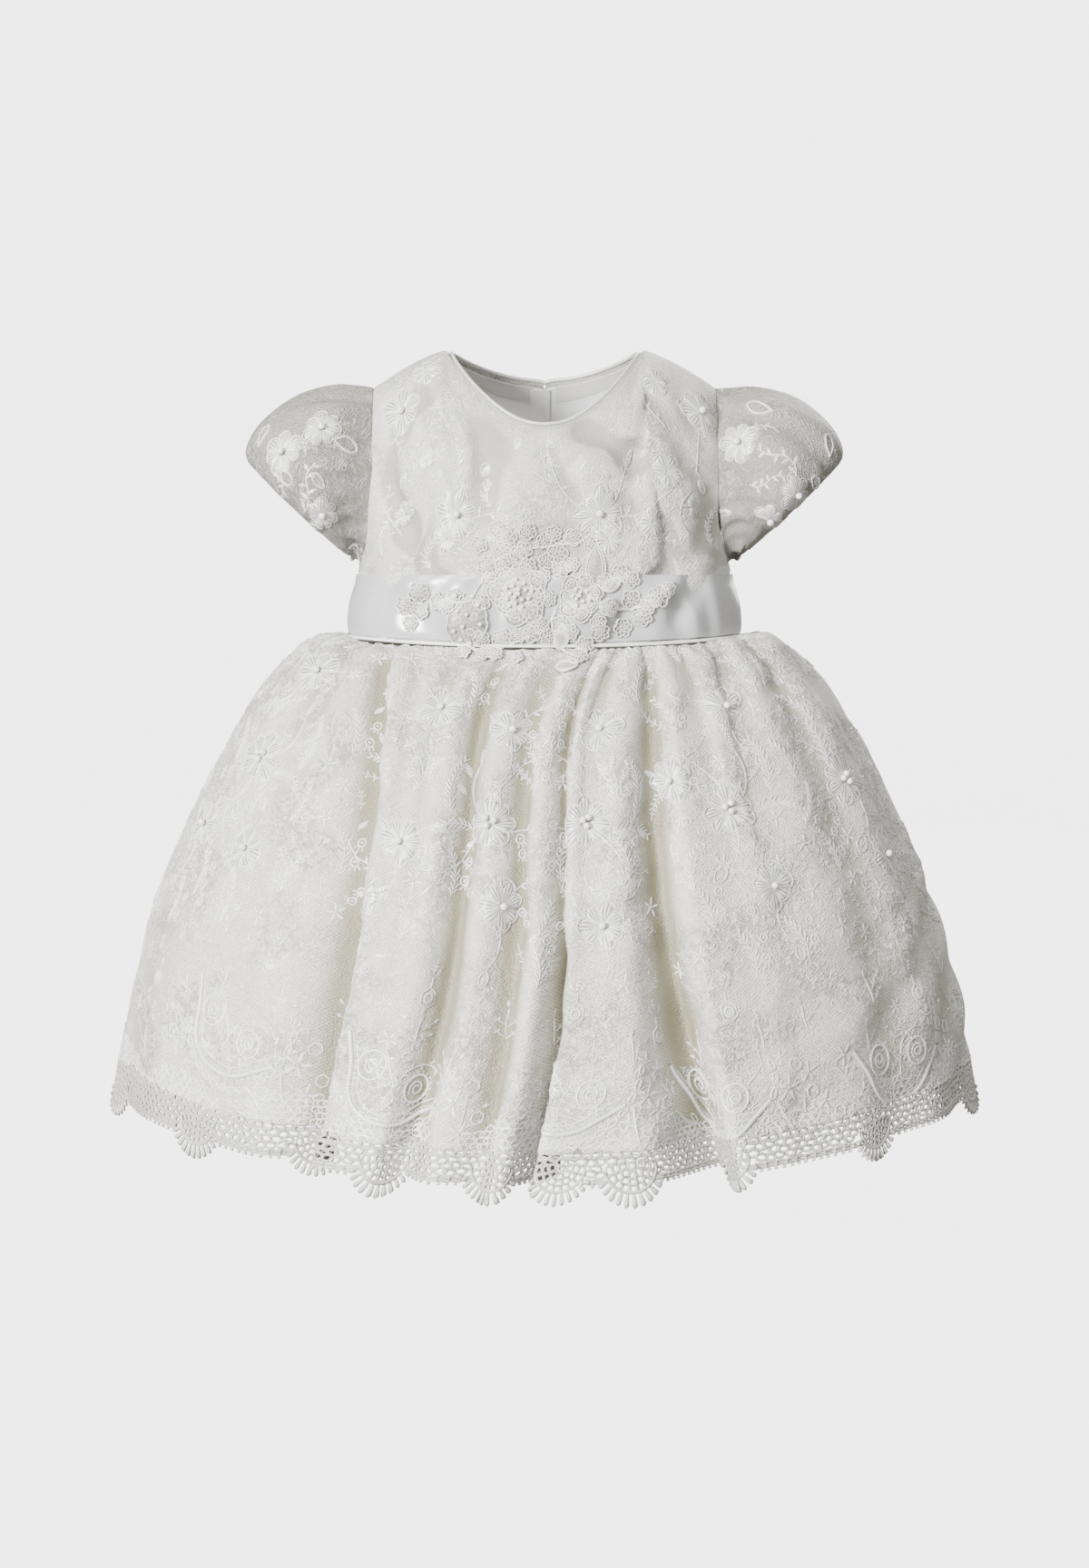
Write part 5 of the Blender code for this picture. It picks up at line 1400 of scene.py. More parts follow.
for row in range(5):
    for at in np.arange(3.0, width - 3.0, 5.4):
        if row < 2.6 + 2.2 * math.sin(at / 13.0) + 0.7 * math.sin(at):
            share = (at + 2.7 * (row % 2) + math.sin(3 * at)) / width
            place = work.ground.hem_place(share, (2.0 + 3.2 * row) * MM)
            work.sew(mesh_cell, place, 14 * math.sin(7 * at + row), 1.0 + 0.14 * math.sin(5 * at))
work.lay("skirt_border_front", thread_work)

# The hidden half has the same repeats, spaced along the cloth.
work = Needlework(grounds["back"])
for k in range(5):
    side = 1 if k % 2 else -1
    for motif, off, up, turn, size, flip in (
        (large_spray, 0, 178, 6 - 3 * k, 1, side), (border_scallop, 0, 8, 0, 1, 1),
        (small_spray, 0.09, 132, -4, 1, side), (small_spray, -0.05, 228, 8, 1, -side),
        (tulip(), 0.03, 92, 0, 0.9, 1), (tulip(), -0.06, 84, 0, 0.9, -1),
    ):
        work.sew(motif, work.ground.hem_place(0.1 + 0.2 * k + off, up * MM), turn, size, flip)
work.fill((bud_spray, knot_spray, sprig()), tones["back"], 40, 30, 20, 66)
work.fill((knot_spray, star(6.0), sprig()), tones["back"], 32, 24, 17, 8, 60)
work.lay("skirt_embroidery_back", thread_work)


# ---- Openwork edging ----
# The border of the overskirt's lace hangs free below the satin: corded thread worked into windows,
# fans of padded loops, with picots along its foot. The background shows through it.
EDGING_TOP = SATIN_HEM + 1.3 * MM
EDGING_FOOT = 300.0  # mm down the cloth, between the fans
FRONT_FANS = (34, 136, 212, 285, 354, 468, 506, 596, 691, 808)  # mm along the foot of each half
BACK_FANS = (52, 148, 244, 340, 436, 532, 628, 724, 820)
PICOT_PITCH = 4.6
EDGING_DEPTH = 324.0
CELL_ROWS = (285.9, 289.2, 292.5, 295.8)  # mm down the cloth
FAN_MIDDLE = 292.0  # mm down the cloth to the hub that a fan's rows and ribs go round
FAN_RADIUS = 14.0  # of the corded arc that the ribs stand on
FAN_RIBS = 11
RIB_LENGTH = 7.6
CELL_WIDE, CELL_HIGH = 6.2, 3.5
CORD = 1.35  # mm thick


def cord(run, thick):
    return thread(run, thick, thick, ends=1.0, round_it=True, lift=0.1)


def cell(wide=CELL_WIDE, high=CELL_HIGH):
    """An oval window, bordered by cord."""
    return oval(wide, high, 8, CORD, rise=CORD, round_it=True)


def ring_at(radius, first, last, count):
    turn = np.radians(np.linspace(first, last, count))
    return np.column_stack([np.sin(turn) * radius, np.cos(turn) * radius])


def rib(length, root=1.3, tip=2.9):
    """A padded rib of the fan, pointing down: slim where it leaves the arc, full and round at its tip."""
    rows, sides = np.array([0.0, 0.3, 0.6, 0.85, 1.0]), 6
    turn = (np.arange(sides) + 0.5) * 2 * math.pi / sides
    width = np.interp(rows, [0.0, 0.6, 0.85, 1.0], [root, tip * 0.92, tip, tip * 0.35])[:, None]
    a = np.cos(turn)[None] * width / 2
    h = (np.sin(turn)[None] * 0.45 + 0.45) * width + 0.1
    # Painted shade and light: the side of the rib that faces the cloth is coloured dark, its top bright.
    bright = np.clip(0.55 + 0.6 * np.sin(turn), 0.1, 1.0)
    points, faces, _ = worked(a, rows[:, None] * length, h, bright, flip=True, closed=True)
    last = 4 * sides
    caps = [[last, last + 1, last + 4, last + 5], [last + 1, last + 2, last + 3, last + 4]]
    return points, np.concatenate([faces, caps]), NO_PEARLS


def fan():
    """A fan of lace: rows of windows round a hub, a corded arc, and padded ribs that spread from it."""
    parts = [cord(ring_at(FAN_RADIUS, -80, 80, 19), 1.5)]
    for k in range(FAN_RIBS):
        turn = -62 + 124 * k / (FAN_RIBS - 1)
        reach = RIB_LENGTH * (1.0 - 0.22 * abs(turn / 62) ** 1.5)
        parts.append(moved(rib(reach), tuple(ring_at(FAN_RADIUS + 0.3, turn, turn, 1)[0]), -turn))
    for radius, count, reach in ((11.6, 9, 92), (8.2, 7, 98), (4.9, 5, 112)):
        for k in range(count):
            turn = -reach + 2 * reach * (k + 0.5) / count
            wide = 2 * reach / count * radius / 57.3 + 1.0
            parts.append(moved(cell(wide, 4.0), tuple(ring_at(radius, turn, turn, 1)[0]), -turn))
    return joined(*parts, oval(3.6, 3.6, 8, 1.4, rise=1.4, round_it=True))


fan_lace, brick = fan(), cell()
picot = moved(rib(2.6, 1.2, 2.1), (0, -0.4))
# Painted shade: the edging's white cord is given about half the brightness of the same white thread in the
# embroidery.
shaded_edging_thread = embroidery_thread(
    "white_edging_cord_painted_shade", (0.50, 0.49, 0.455), (0.09, 0.083, 0.065), 0.34, 520.0, 0.18
)
for name, fans in (("front", FRONT_FANS), ("back", BACK_FANS)):
    alongs = np.concatenate([[SATIN_HEM - 6 * MM], np.linspace(SATIN_HEM, EDGING_DEPTH * MM, 27)])
    hang, _ = skirt_points(halves[name][1:-1], alongs)
    hang = hang + normals_of(hang) * (SEAM_GAP + LACE_WALL * 0.4)
    ground = Ground(hang)
    foot = ground.along[np.searchsorted(alongs, EDGING_FOOT * MM)]
    length = foot[-1] / MM
    work = Needlework(ground)

    def on_edging(at, down):
        """A place this many mm along the foot of the edging, and down the cloth from the waist."""
        column = float(np.interp(at * MM, foot, np.arange(len(foot))))
        return float(np.interp(down * MM, alongs, np.arange(len(alongs)))), column

    def clear_of_fans(at, down, apart):
        return all(math.hypot(at - middle, down - FAN_MIDDLE) > apart for middle in fans)

    def hung_cord(down, thick, keep_off):
        """A cord along the edging, in short lengths, left out where a fan's rows and arc take its place."""
        for start in np.arange(0, length - 3, 6.0):
            if clear_of_fans(start + 3.0, down, keep_off):
                run = np.linspace(0, min(6.3, length - start), 5)
                run = np.column_stack([run, 0.3 * np.sin(run + start)])
                work.sew(cord(run, thick), on_edging(start, down))

    hung_cord(EDGING_TOP / MM + 0.2, 0.9, 0.0)
    hung_cord(EDGING_FOOT - 1.1, 1.5, FAN_RADIUS + 1.0)
    hung_cord(EDGING_FOOT + 0.6, 1.4, FAN_RADIUS + 1.0)
    for k, middle in enumerate(fans):
        size, flip = 1.0 - 0.04 * (k % 3), 1 if k % 2 else -1
        work.sew(fan_lace, on_edging(middle, FAN_MIDDLE), 3 * math.sin(5 * k), size, flip)
    for row, down in enumerate(CELL_ROWS):
        for at in np.arange(2.0 + CELL_WIDE / 2 * (row % 2), length - 1.0, CELL_WIDE - 0.7):
            at, drop = at + 0.8 * math.sin(3 * at + row), down + 0.5 * math.sin(5 * at + 2 * row)
            if row < 2 or clear_of_fans(at, drop, FAN_RADIUS + 1.4):
                work.sew(brick, on_edging(at, drop), 11 * math.sin(7 * at), 1.0 + 0.10 * math.sin(9 * at))
    for at in np.arange(3.0, length - 2.0, PICOT_PITCH):
        if clear_of_fans(at, EDGING_FOOT, FAN_RADIUS + 4.5):
            work.sew(picot, on_edging(at, EDGING_FOOT + 0.9), 12 * math.sin(at))
    work.lay(f"openwork_edging_{name}", shaded_edging_thread, stands_for=f"lace_edging_{name}")


# ---- Sash and waist cord ----
# A wide band of smooth white satin round the waist, cut across the grain so that it drags into soft
# slanting folds, its ends hooked together at the back. A thin satin piping covers its lower seam.
SASH_TOP_Z = -113.6 * MM
SASH_WALL = 1.2 * MM
WAIST_CORD_RADIUS = 0.9 * MM
SASH_FOLDS = (
    # x at the top, x at the bottom, half width, depth (mm)
    (-92, -97, 3.5, 1), (-82, -90, 4, -0.9), (-70, -78, 6.5, 1.8), (-58, -71, 4.5, -1),
    (-46, -60, 6, 1.1), (-34, -40, 5, -0.6), (34, 42, 5, -0.7), (48, 60, 6, 1.6), (60, 76, 4.5, -1.1),
    (70, 84, 4, 1.6), (82, 92, 4, -1), (91, 96, 3.5, 0.8),
)


def waist_ring(level, out, count, gap):
    """Points round the bodice from the middle of the back, by the wearer's left side, and round again."""
    half = float(curve(BODY_SECTIONS, 1, np.array([level]))[0]) * 0.9999
    start = (gap / 2 / half) ** (BODY_SQUARENESS / 2)
    turn = np.linspace(start, 2 * math.pi - start, count + 1)
    across = np.sin(turn)
    x = half * np.copysign(np.abs(across) ** (2 / BODY_SQUARENESS), across)
    levels = np.full(len(x), level)
    ring = np.where((np.cos(turn) > 0)[:, None], body_point(x, levels, True), body_point(x, levels, False))
    normal = unit(np.cross(headings(ring), (0, 0, 1)))
    normal *= np.where((normal[:, :2] * ring[:, :2]).sum(axis=1) > 0, 1, -1)[:, None]
    return ring + normal * out


sash_top = float(level_at(0.0, SASH_TOP_Z))
sash_foot = (WAIST_CORD_RADIUS + SEAM_GAP + 0.3 * MM) / float(ridge_z(0.0) - waist_z(0.0))
sash_grid = np.array([
    waist_ring(sash_top + (sash_foot - sash_top) * share, SEAM_GAP + SASH_WALL, 320, BACK_GAP)[::-1]
    for share in np.linspace(0, 1, 19)
])
sash_grid[0, :, 2] = SASH_TOP_Z
shares = np.linspace(0, 1, 19)[:, None]
facing_front = sash_grid[..., 1] < 0
rise = np.zeros(sash_grid.shape[:2])
for upper, lower, half_width, depth in SASH_FOLDS:
    middle = (upper + (lower - upper) * shares + 1.5 * np.sin(3 * shares + upper)) * MM
    for side, sign in ((facing_front, 1), (~facing_front, -1)):
        off = (sash_grid[..., 0] * sign - middle) / (half_width * MM)
        fold = depth * MM * np.exp(-(off**2)) * np.sin(math.pi * (0.12 + 0.76 * shares)) ** 0.5
        rise += np.where(side, fold, 0)
roll = 0.5 * MM * (np.exp(-((shares / 0.07) ** 2)) + np.exp(-(((1 - shares) / 0.07) ** 2)))
swell = np.sin(math.pi * shares)
front_share = swell**0.6 * np.clip((92 * MM - np.abs(sash_grid[..., 0])) / (20 * MM), 0, 1)
rise = np.clip(rise, -0.8 * MM, 2.2 * MM) + 0.4 * MM + 1.6 * MM * swell - roll
sash_grid = dented(sash_grid + normals_of(sash_grid) * rise[..., None], 1.9 * MM, 20 * MM, 11, front_share)
# Painted shade: the sash's white satin is given about half the brightness of the white lining satin; its
# faint blue tint is its own colour.
shaded_sash_satin = satin("white_sash_satin_painted_shade", (0.50, 0.505, 0.515), (0.42, 0.425, 0.435), gloss=0.22, ripple=2.6)
sash = add_cloth("satin_sash", sash_grid, 0.8 * MM, shaded_sash_satin)
fit(sash, "white_satin", "sash", flat=(0.56, 0.036), held="stretched", area=0.56 * 0.036)
waist_run = waist_ring(0.0, WAIST_CORD_RADIUS + SEAM_GAP + 0.3 * MM, 220, BACK_GAP) - (0, 0, 0.35 * MM)
waist_satin = satin("waist_piping_satin", (0.86, 0.86, 0.85), (0.78, 0.78, 0.77), gloss=0.28, ripple=0.3)
waist_piping = add_cord("waist_piping", waist_run, WAIST_CORD_RADIUS, waist_satin)
fit(waist_piping, "white_satin", "waist_cord")


# ---- Embroidery on the bodice and sleeves ----
# The same white thread on the finer net of the bodice: stitched flowers with pearls at their middles,
# joined by leafy vines, and on the sleeves loose loops, large outlined leaves and small flowers.
def outlined_leaf(length, width):
    """A large leaf drawn in two rows of cord, with slanting stitches inside."""
    veins, bow = 6, 0.12
    half = [(-0.36, -0.25), (-0.5, -0.55), (-0.3, -0.85)]
    around = [(0, 0), *half, (0, -1.0)] + [(-a, b) for a, b in reversed(half)]
    shape = bend(np.array(around) * (width, length), 1.0)
    shape[:, 0] += bow * length * np.sin(-shape[:, 1] / length * math.pi / 2) ** 2
    inner = shape * (0.78, 0.86) + (bow * 0.6, -length * 0.06)
    parts = [thread(shape, 1.0, 0.8, True), thread(inner, 0.8, 0.6, True)]
    for k in range(veins):
        at = -length * (0.18 + 0.66 * k / veins)
        middle = bow * length * math.sin(-at / length * math.pi / 2) ** 2
        for side in (-1, 1):
            reach = width * 0.32 * math.sin(math.pi * (0.2 + 0.7 * k / veins))
            parts.append(thread([(middle, at), (middle + side * reach, at - reach * 0.8)], 0.6, 0.5))
    vein = bend([(0, 0), (bow * length * 0.4, -length * 0.5), (bow * length, -length * 0.95)])
    parts.append(thread(vein, 0.5, 0.45))
    return joined(*parts)


BODICE_FLOWERS = (
    # pixel across and down, radius (mm), petals, pearls, turn
    (444, 454, 12, 6, 1, 10), (501, 568, 12.5, 7, 1, 0), (661, 566, 13.5, 8, 1, 14),
    (773, 453, 11.5, 7, 1, 0), (735, 520, 9, 6, 0, 30), (493, 592, 8, 6, 0, 0), (672, 594, 8.5, 6, 0, 20),
    (448, 566, 7.5, 6, 0, 40), (722, 575, 8.5, 6, 0, 0), (470, 412, 8, 6, 0, 0), (722, 418, 8, 6, 0, 0),
    (545, 588, 5, 5, 0, 10), (470, 508, 5, 5, 0, 50), (765, 560, 5.5, 5, 0, 0),
)
BODICE_VINES = (
    # pixels from root to tip
    ((444, 470), (437, 485), (442, 498), (450, 515)),
    ((607, 474), (605, 494), (614, 528), (628, 551), (640, 562)), ((679, 551), (688, 528), (692, 512)),
    ((772, 470), (770, 498), (768, 522)), ((501, 549), (512, 530), (507, 508), (518, 490)),
    ((521, 572), (545, 566), (566, 572), (592, 585)), ((445, 590), (430, 575), (425, 555), (432, 535)),
    ((683, 572), (705, 566), (724, 556), (742, 540)), ((735, 470), (722, 455), (708, 440)),
    ((468, 450), (488, 446), (500, 436), (506, 424)), ((760, 590), (750, 574), (752, 556), (764, 540)),
)
BODICE_LEAVES = (
    # pixel, length, width (mm), turn
    (447, 522, 9, 4, 190), (532, 524, 9, 4, 20), (609, 519, 9, 4, -12), (692, 516, 9, 3.6, 24),
    (674, 528, 6, 2.8, -38), (699, 536, 6, 2.8, 60), (770, 528, 8, 3.6, 170), (711, 446, 7, 3.2, -30),
    (728, 440, 7, 3.2, 10), (746, 446, 7, 3.2, 46), (566, 494, 7, 3, 30), (482, 600, 8, 3.4, -20),
    (640, 520, 6, 2.8, 40), (712, 500, 6, 2.8, -50),
)
BODICE_FERNS = (
    # the same
    ((421, 612), (418, 600), (421, 588), (428, 576)), ((473, 630), (470, 614), (474, 600), (482, 588)),
    ((596, 606), (606, 596), (622, 590), (640, 592)), ((785, 600), (780, 588), (782, 574), (790, 562)),
    ((540, 560), (534, 550), (534, 540), (538, 530)), ((705, 600), (716, 592), (730, 590), (744, 596)),
)
ground = Ground(front_grid)
work = Needlework(ground)
for across, down, radius, petals, pearls, turn in BODICE_FLOWERS:
    work.sew(flower(radius, petals, pearls, 0.85), ground.under(across, down), turn)
for pixels in BODICE_VINES:
    root, run = ground.local_run(pixels)
    work.sew(vine(run, 7, 6.0), root)
for across, down, length, width, turn in BODICE_LEAVES:
    work.sew(joined(teardrop(length), stitched_leaf(length, width)), ground.under(across, down), turn)
for pixels in BODICE_FERNS:
    root, run = ground.local_run(pixels)
    work.sew(fern(run, 8, 3.4), root)
work.lay("bodice_embroidery_front", thread_work)
for name, grid in (("left", left_grid), ("right", right_grid)):
    ground = Ground(grid)
    work = Needlework(ground)
    for k, (share, up, turn) in enumerate(((0.3, 104, 10), (0.72, 84, -20), (0.35, 58, 30), (0.75, 34, 0))):
        work.sew(flower(10.0 - k % 2 * 2, 5 + k % 2, 1, 0.7), ground.hem_place(share, up * MM), turn)
        work.sew(vine([(6, 6), (12, 12), (12, 22), (5, 30)], 6, 4.2), ground.hem_place(share, up * MM))
        work.sew(stitched_leaf(9, 3.8), ground.hem_place(share - 0.15, (up - 10) * MM), turn + 140)
    for k in range(6):
        run = [(0, 12), (-2, 4), (-1, -4), (4, -12)]
        work.sew(fern(run, 8, 3.4), ground.hem_place(0.16 + 0.14 * k, (14 + 17 * (k % 4)) * MM), 25 * k)
    work.lay(f"bodice_embroidery_{name}", thread_work)
SLEEVE_WORK = {
    "right": (
        # kind, pixel across and down, turn, size
        ("loop", 383, 488, 20, 1.0), ("flower", 309, 500, 0, 1.0), ("loop", 312, 526, 60, 0.8),
        ("leaf", 385, 606, 8, 1.0), ("flower", 355, 470, 20, 0.9), ("vine", 336, 545, -30, 1.0),
        ("leaf", 340, 520, 60, 0.6), ("flower", 352, 568, 40, 0.8), ("loop", 290, 478, -20, 0.8),
    ),
    "left": (
        ("leaf", 806, 566, -8, 0.9), ("flower", 812, 486, 0, 1.0), ("vine", 866, 505, 20, 1.0),
        ("loop", 838, 450, 0, 0.9), ("flower", 880, 545, 30, 0.9), ("leaf", 902, 540, -24, 0.55),
        ("loop", 915, 490, 40, 0.8), ("flower", 850, 575, 10, 0.8), ("vine", 840, 530, 160, 0.8),
    ),
}
sleeve_motifs = {
    "loop": rope([(0, 8), (-3.5, 2), (-3, -4), (1, -7), (4, -3), (2.5, 3), (-1, 9)], 1.3, 0.9),
    "flower": joined(flower(11.0, 7, 1, 0.85), vine([(5, 5), (12, 11), (14, 20)], 6, 5.4)),
    "leaf": outlined_leaf(19, 10),
    "vine": vine([(0, 12), (3, 6), (1, -2), (-4, -8), (-5, -16)], 8, 6.0),
}
for name, table in SLEEVE_WORK.items():
    ground = Ground(sleeve_grids[name], closed=True)
    work = Needlework(ground)
    for kind, across, down, turn, size in table:
        work.sew(sleeve_motifs[kind], ground.under(across, down), turn, size)
    for k, kind in enumerate(("flower", "vine", "leaf", "loop", "flower", "vine", "flower", "loop")):
        rows, columns = sleeve_grids[name].shape[:2]
        behind = np.argmax(sleeve_grids[name][rows // 2, :, 1])
        place = (rows * (0.3 + 0.4 * (k % 2)), columns // 3 + (behind + (k - 3.5) * columns / 22) % columns)
        work.sew(sleeve_motifs[kind], place, 40 * k, 0.85)
    work.lay(f"sleeve_embroidery_{name}", thread_work)


# ---- Flower spray at the waist ----
# A cut-out piece of heavily corded lace, sewn over the sash by hand: two large flowers with raised
# petals and pearls, a tall leaf, and small scalloped flowers that trail to both sides.
SKIRT_TOP_SLOPE = 1.4  # how far along the cloth for each mm down, just below the waist


def front_face(x, z):
    """The face at the front of the waist that the spray lies on: bodice, then sash, then skirt."""
    waist = waist_z(x)
    above = np.clip((z - SASH_TOP_Z) / (6 * MM) - 0.7, 0, 1)
    out = (SEAM_GAP + SASH_WALL) * (1 - above) + 0.5 * MM * (z < waist + 2 * MM)
    level = np.maximum(0, level_at(x, np.maximum(z, waist)))
    body = body_point(x, level, False)
    side = body_point(x + MM, level, False) - body_point(x - MM, level, False)
    y = body[:, 1] - out * np.hypot(side[:, 0], side[:, 1]) / side[:, 0]
    along = np.maximum(waist - z, 0) * SKIRT_TOP_SLOPE
    half, depth = curve(SKIRT_PROFILE, 1, along), curve(SKIRT_PROFILE, 3, along)
    skirt = -depth * np.sqrt(np.clip(1 - (x / half) ** 2, 0, 1)) - (2 * SEAM_GAP + LACE_WALL)
    return np.column_stack([x, np.where(z < waist, np.minimum(skirt, y), y), z])


def pad(outline, rise, fine=0.0):
    """A thin padded patch inside a closed outline, with its edge turned down."""
    outline = np.asarray(outline, float)
    middle = outline.mean(axis=0)
    shares = np.array([0.03, 0.5, 0.92, 1.0])[:, None, None]
    flat = middle + (outline - middle)[None] * shares
    wave = 1 + fine * np.cos(np.arange(len(outline)) * math.pi)[None]
    h = rise * (1 - shares[..., 0] ** 3) * wave
    h[-1] = -0.45
    bright = 0.10 + 0.22 * (np.arange(len(outline)) % 2)
    return worked(flat[..., 0], flat[..., 1], h, bright, flip=True, closed=True)


def both_sides(half, down):
    """A closed outline, from how wide its right-hand half is at places down its middle."""
    edge = np.column_stack([half, down])
    return np.concatenate([edge, (edge * (-1, 1))[::-1][1:-1]])


def scalloped(radius, lobes, depth=0.14, stretch=1.0):
    turn = np.arange(lobes * 4) * 2 * math.pi / (lobes * 4)
    reach = radius * (1 - depth + depth * np.abs(np.cos(turn * lobes / 2)) ** 0.7)
    return np.column_stack([np.sin(turn) * reach, -np.cos(turn) * reach * stretch])


def raised_petal(reach, width):
    """A raised petal: a padded patch with slanting stitches and a scalloped cord round its edge."""
    t = np.linspace(0, 1, 19)
    half = width / 2 * np.sin(math.pi * np.clip(t, 0, 1) ** 0.72) ** 0.55
    edge = both_sides(half, -reach * (0.16 + 0.84 * t))
    edge += 0.32 * np.sin(np.arange(len(edge)) * 2 * math.pi * 7 / len(edge))[:, None] * np.array([0.8, -0.6])
    parts = [
        pad(edge, 1.1, fine=0.3), thread(edge, 0.95, 0.95, True, lift=0.35),
        thread(edge[::2] * 0.62 + (0, -reach * 0.24), 0.7, 0.7, True, lift=0.9),
        moved(oval(width * 0.22, reach * 0.16, 7, 0.6, lift=1.0), (0, -reach * 0.66)),
    ]
    for k in range(-2, 3):
        tip = (width * 0.15 * k, -reach * 0.86)
        stitch = bend([(0.5 * k, -reach * 0.3), (width * 0.12 * k, -reach * 0.6), tip])
        parts.append(thread(stitch, 0.55, 0.5, lift=0.95))
    return joined(*parts)


def pearl_flower(radius, petals, pearls, twist):
    """A large flower of raised petals with a cluster of pearls in its middle."""
    parts = []
    for k in range(petals):
        size = 1 + 0.13 * math.sin(2.1 * k + 0.6)
        parts.append(moved(raised_petal(radius * size, radius * 0.98), turn=twist + 360 * k / petals))
    ring = scalloped(radius * 0.52, 7)
    parts += [pad(ring, 1.9), thread(ring, 0.8, 0.9, True, lift=0.8)]
    spots = [(0.2, -0.3, 1.15, 2.0)]
    for k in range(pearls):
        angle = 2.39996 * (k + 1)
        out = 2.05 * math.sqrt(k + 0.9)
        spots.append((out * math.cos(angle), out * math.sin(angle), 1.1, 1.9 - 0.04 * k))
    return joined(*parts, pearls_at(*spots))


def ring_flower(radius, lobes):
    """A small scalloped flower with a sunk ring in its middle."""
    edge = scalloped(radius, lobes, 0.24)
    curl = moved(oval(radius * 0.46, radius * 0.5, 7, 0.6, lift=0.5), (0, -radius * 0.56))
    return joined(
        pad(edge, 0.6), thread(edge, 0.95, 0.9, True, lift=0.25),
        *(moved(curl, turn=360 * (k + 0.5) / lobes) for k in range(lobes)),
        oval(radius * 0.4, radius * 0.4, 6, 0.75, lift=0.6, rise=0.8),
    )


def tall_leaf(length, width):
    t = np.linspace(0, 1, 19)
    half = width / 2 * np.sin(math.pi * t**0.8) ** 0.8
    edge = both_sides(half, -length * t)
    parts = [
        pad(edge, 0.6), thread(edge, 1.2, 1.0, True, lift=0.2),
        thread(edge * (0.72, 0.84) - (0, length * 0.07), 0.8, 0.7, True, lift=0.4),
    ]
    for k in range(8):
        at = -length * (0.14 + 0.1 * k)
        reach = width * 0.3 * math.sin(math.pi * (0.2 + 0.08 * k))
        parts += [thread([(0, at), (side * reach, at - 1.4)], 0.6, 0.5, lift=0.6) for side in (-1, 1)]
    return joined(*parts)


xs, zs = np.meshgrid(np.linspace(-95, 88, 184) * MM, np.linspace(-72, -192, 121) * MM)
apron = front_face(xs.ravel(), zs.ravel()).reshape(*xs.shape, 3)
reach = np.zeros(xs.shape)
for cloth in (front_grid, sash_grid, skirt_grids["front"][:26]):
    rows, columns = (np.linspace(0, count - 1, 5 * count) for count in cloth.shape[:2])
    spots = sample(cloth, *(np.ravel(side) for side in np.meshgrid(rows, columns, indexing="ij")))
    spots = spots[spots[..., 1] < 0]
    i, j = (np.rint(off / MM).astype(int) for off in (zs[0, 0] - spots[:, 2], spots[:, 0] - xs[0, 0]))
    kept = (i >= 0) & (i < xs.shape[0]) & (j >= 0) & (j < xs.shape[1])
    np.minimum.at(reach, (i[kept], j[kept]), spots[kept, 1])
for axis in (0, 1):
    reach = np.minimum(reach, np.minimum(np.roll(reach, 1, axis), np.roll(reach, -1, axis)))
apron[..., 1] = np.where(reach < 0, reach, apron[..., 1])
for _ in range(4):
    # A piece of lace spans the steps of the seams that it lies over.
    apron[1:-1, :, 1] = (apron[:-2, :, 1] + 2 * apron[1:-1, :, 1] + apron[2:, :, 1]) / 4
ground = Ground(apron)
work = Needlework(ground)
SPRAY_RING_FLOWERS = (
    # pixel across and down, radius (mm)
    (461, 655, 5.2), (445, 669, 4.6), (463, 674, 4.4), (450, 687, 3.6), (481, 661, 4.2), (498, 657, 3.6),
    (672, 670, 4.4), (697, 663, 5), (708, 682, 4.8), (727, 655, 5.4), (738, 648, 3.6), (687, 693, 4.6),
    (663, 697, 4.6), (535, 626, 4.8), (555, 606, 3.8), (578, 608, 4), (615, 612, 5.2), (601, 598, 4),
    (630, 622, 3.6), (552, 706, 4.8), (571, 702, 3.6), (535, 720, 3.6), (567, 724, 4), (647, 710, 4.4),
    (627, 698, 3.8), (597, 690, 4.2), (510, 716, 3.6), (668, 640, 4), (686, 632, 4.6), (491, 667, 3.8),
    (537, 640, 3.6), (555, 627, 4.4), (583, 626, 4.2), (573, 612, 4), (581, 588, 4.2), (556, 596, 5.6),
    (611, 590, 3.8), (632, 594, 4.4), (617, 628, 4.4), (604, 618, 4), (600, 634, 3.8), (671, 671, 4.2),
    (659, 688, 4), (711, 670, 4), (720, 664, 3.6), (640, 722, 4.2), (604, 704, 4.2), (615, 690, 4),
    (586, 700, 4.4), (529, 706, 4), (545, 719, 3.8), (531, 662, 4.2), (606, 660, 3.8), (697, 640, 4),
    (545, 584, 3.8), (528, 601, 4), (650, 600, 3.6),
)
SPRAY_STEMS = (
    ((480, 664), (492, 660), (505, 664), (520, 660)), ((505, 668), (510, 700), (522, 716), (548, 712)),
    ((560, 712), (590, 700), (605, 690), (612, 676)), ((612, 672), (608, 690), (618, 712), (632, 722)),
    ((632, 660), (660, 672), (690, 672), (712, 668)), ((540, 622), (560, 612), (590, 604), (640, 600)),
    ((655, 644), (650, 652), (640, 656)), ((520, 660), (530, 640), (536, 630)),
)
SPRAY_TALL_LEAVES = (
    # pixel across and down, length, width (mm), turn
    (654, 645, 23, 10.5, 4), (617, 716, 15, 7.5, 8), (612, 733, 13, 6.5, 84), (667, 650, 12, 7, 52),
)
SPRAY_PEARL_FLOWERS = (
    # pixel across and down, radius (mm), petals, pearls, twist
    (638, 659, 12.5, 7, 8, 20), (569, 655, 16.5, 8, 15, 8),
)
BEAD_MIDDLE = (514, 684)  # pixel, of the scalloped patch with loose beads and rings; the rest in mm from it
BEADS = ((-7, -13), (2, -13), (5, -8), (-6, -5), (-1, -3), (6, 2), (-3, 3), (-8, 5), (1, 12), (-4, 10))
BEAD_RINGS = ((-4, -9), (4, -3), (-5, 1), (2, 7), (-3, 12), (6, 8), (-8, -2), (0, -14))
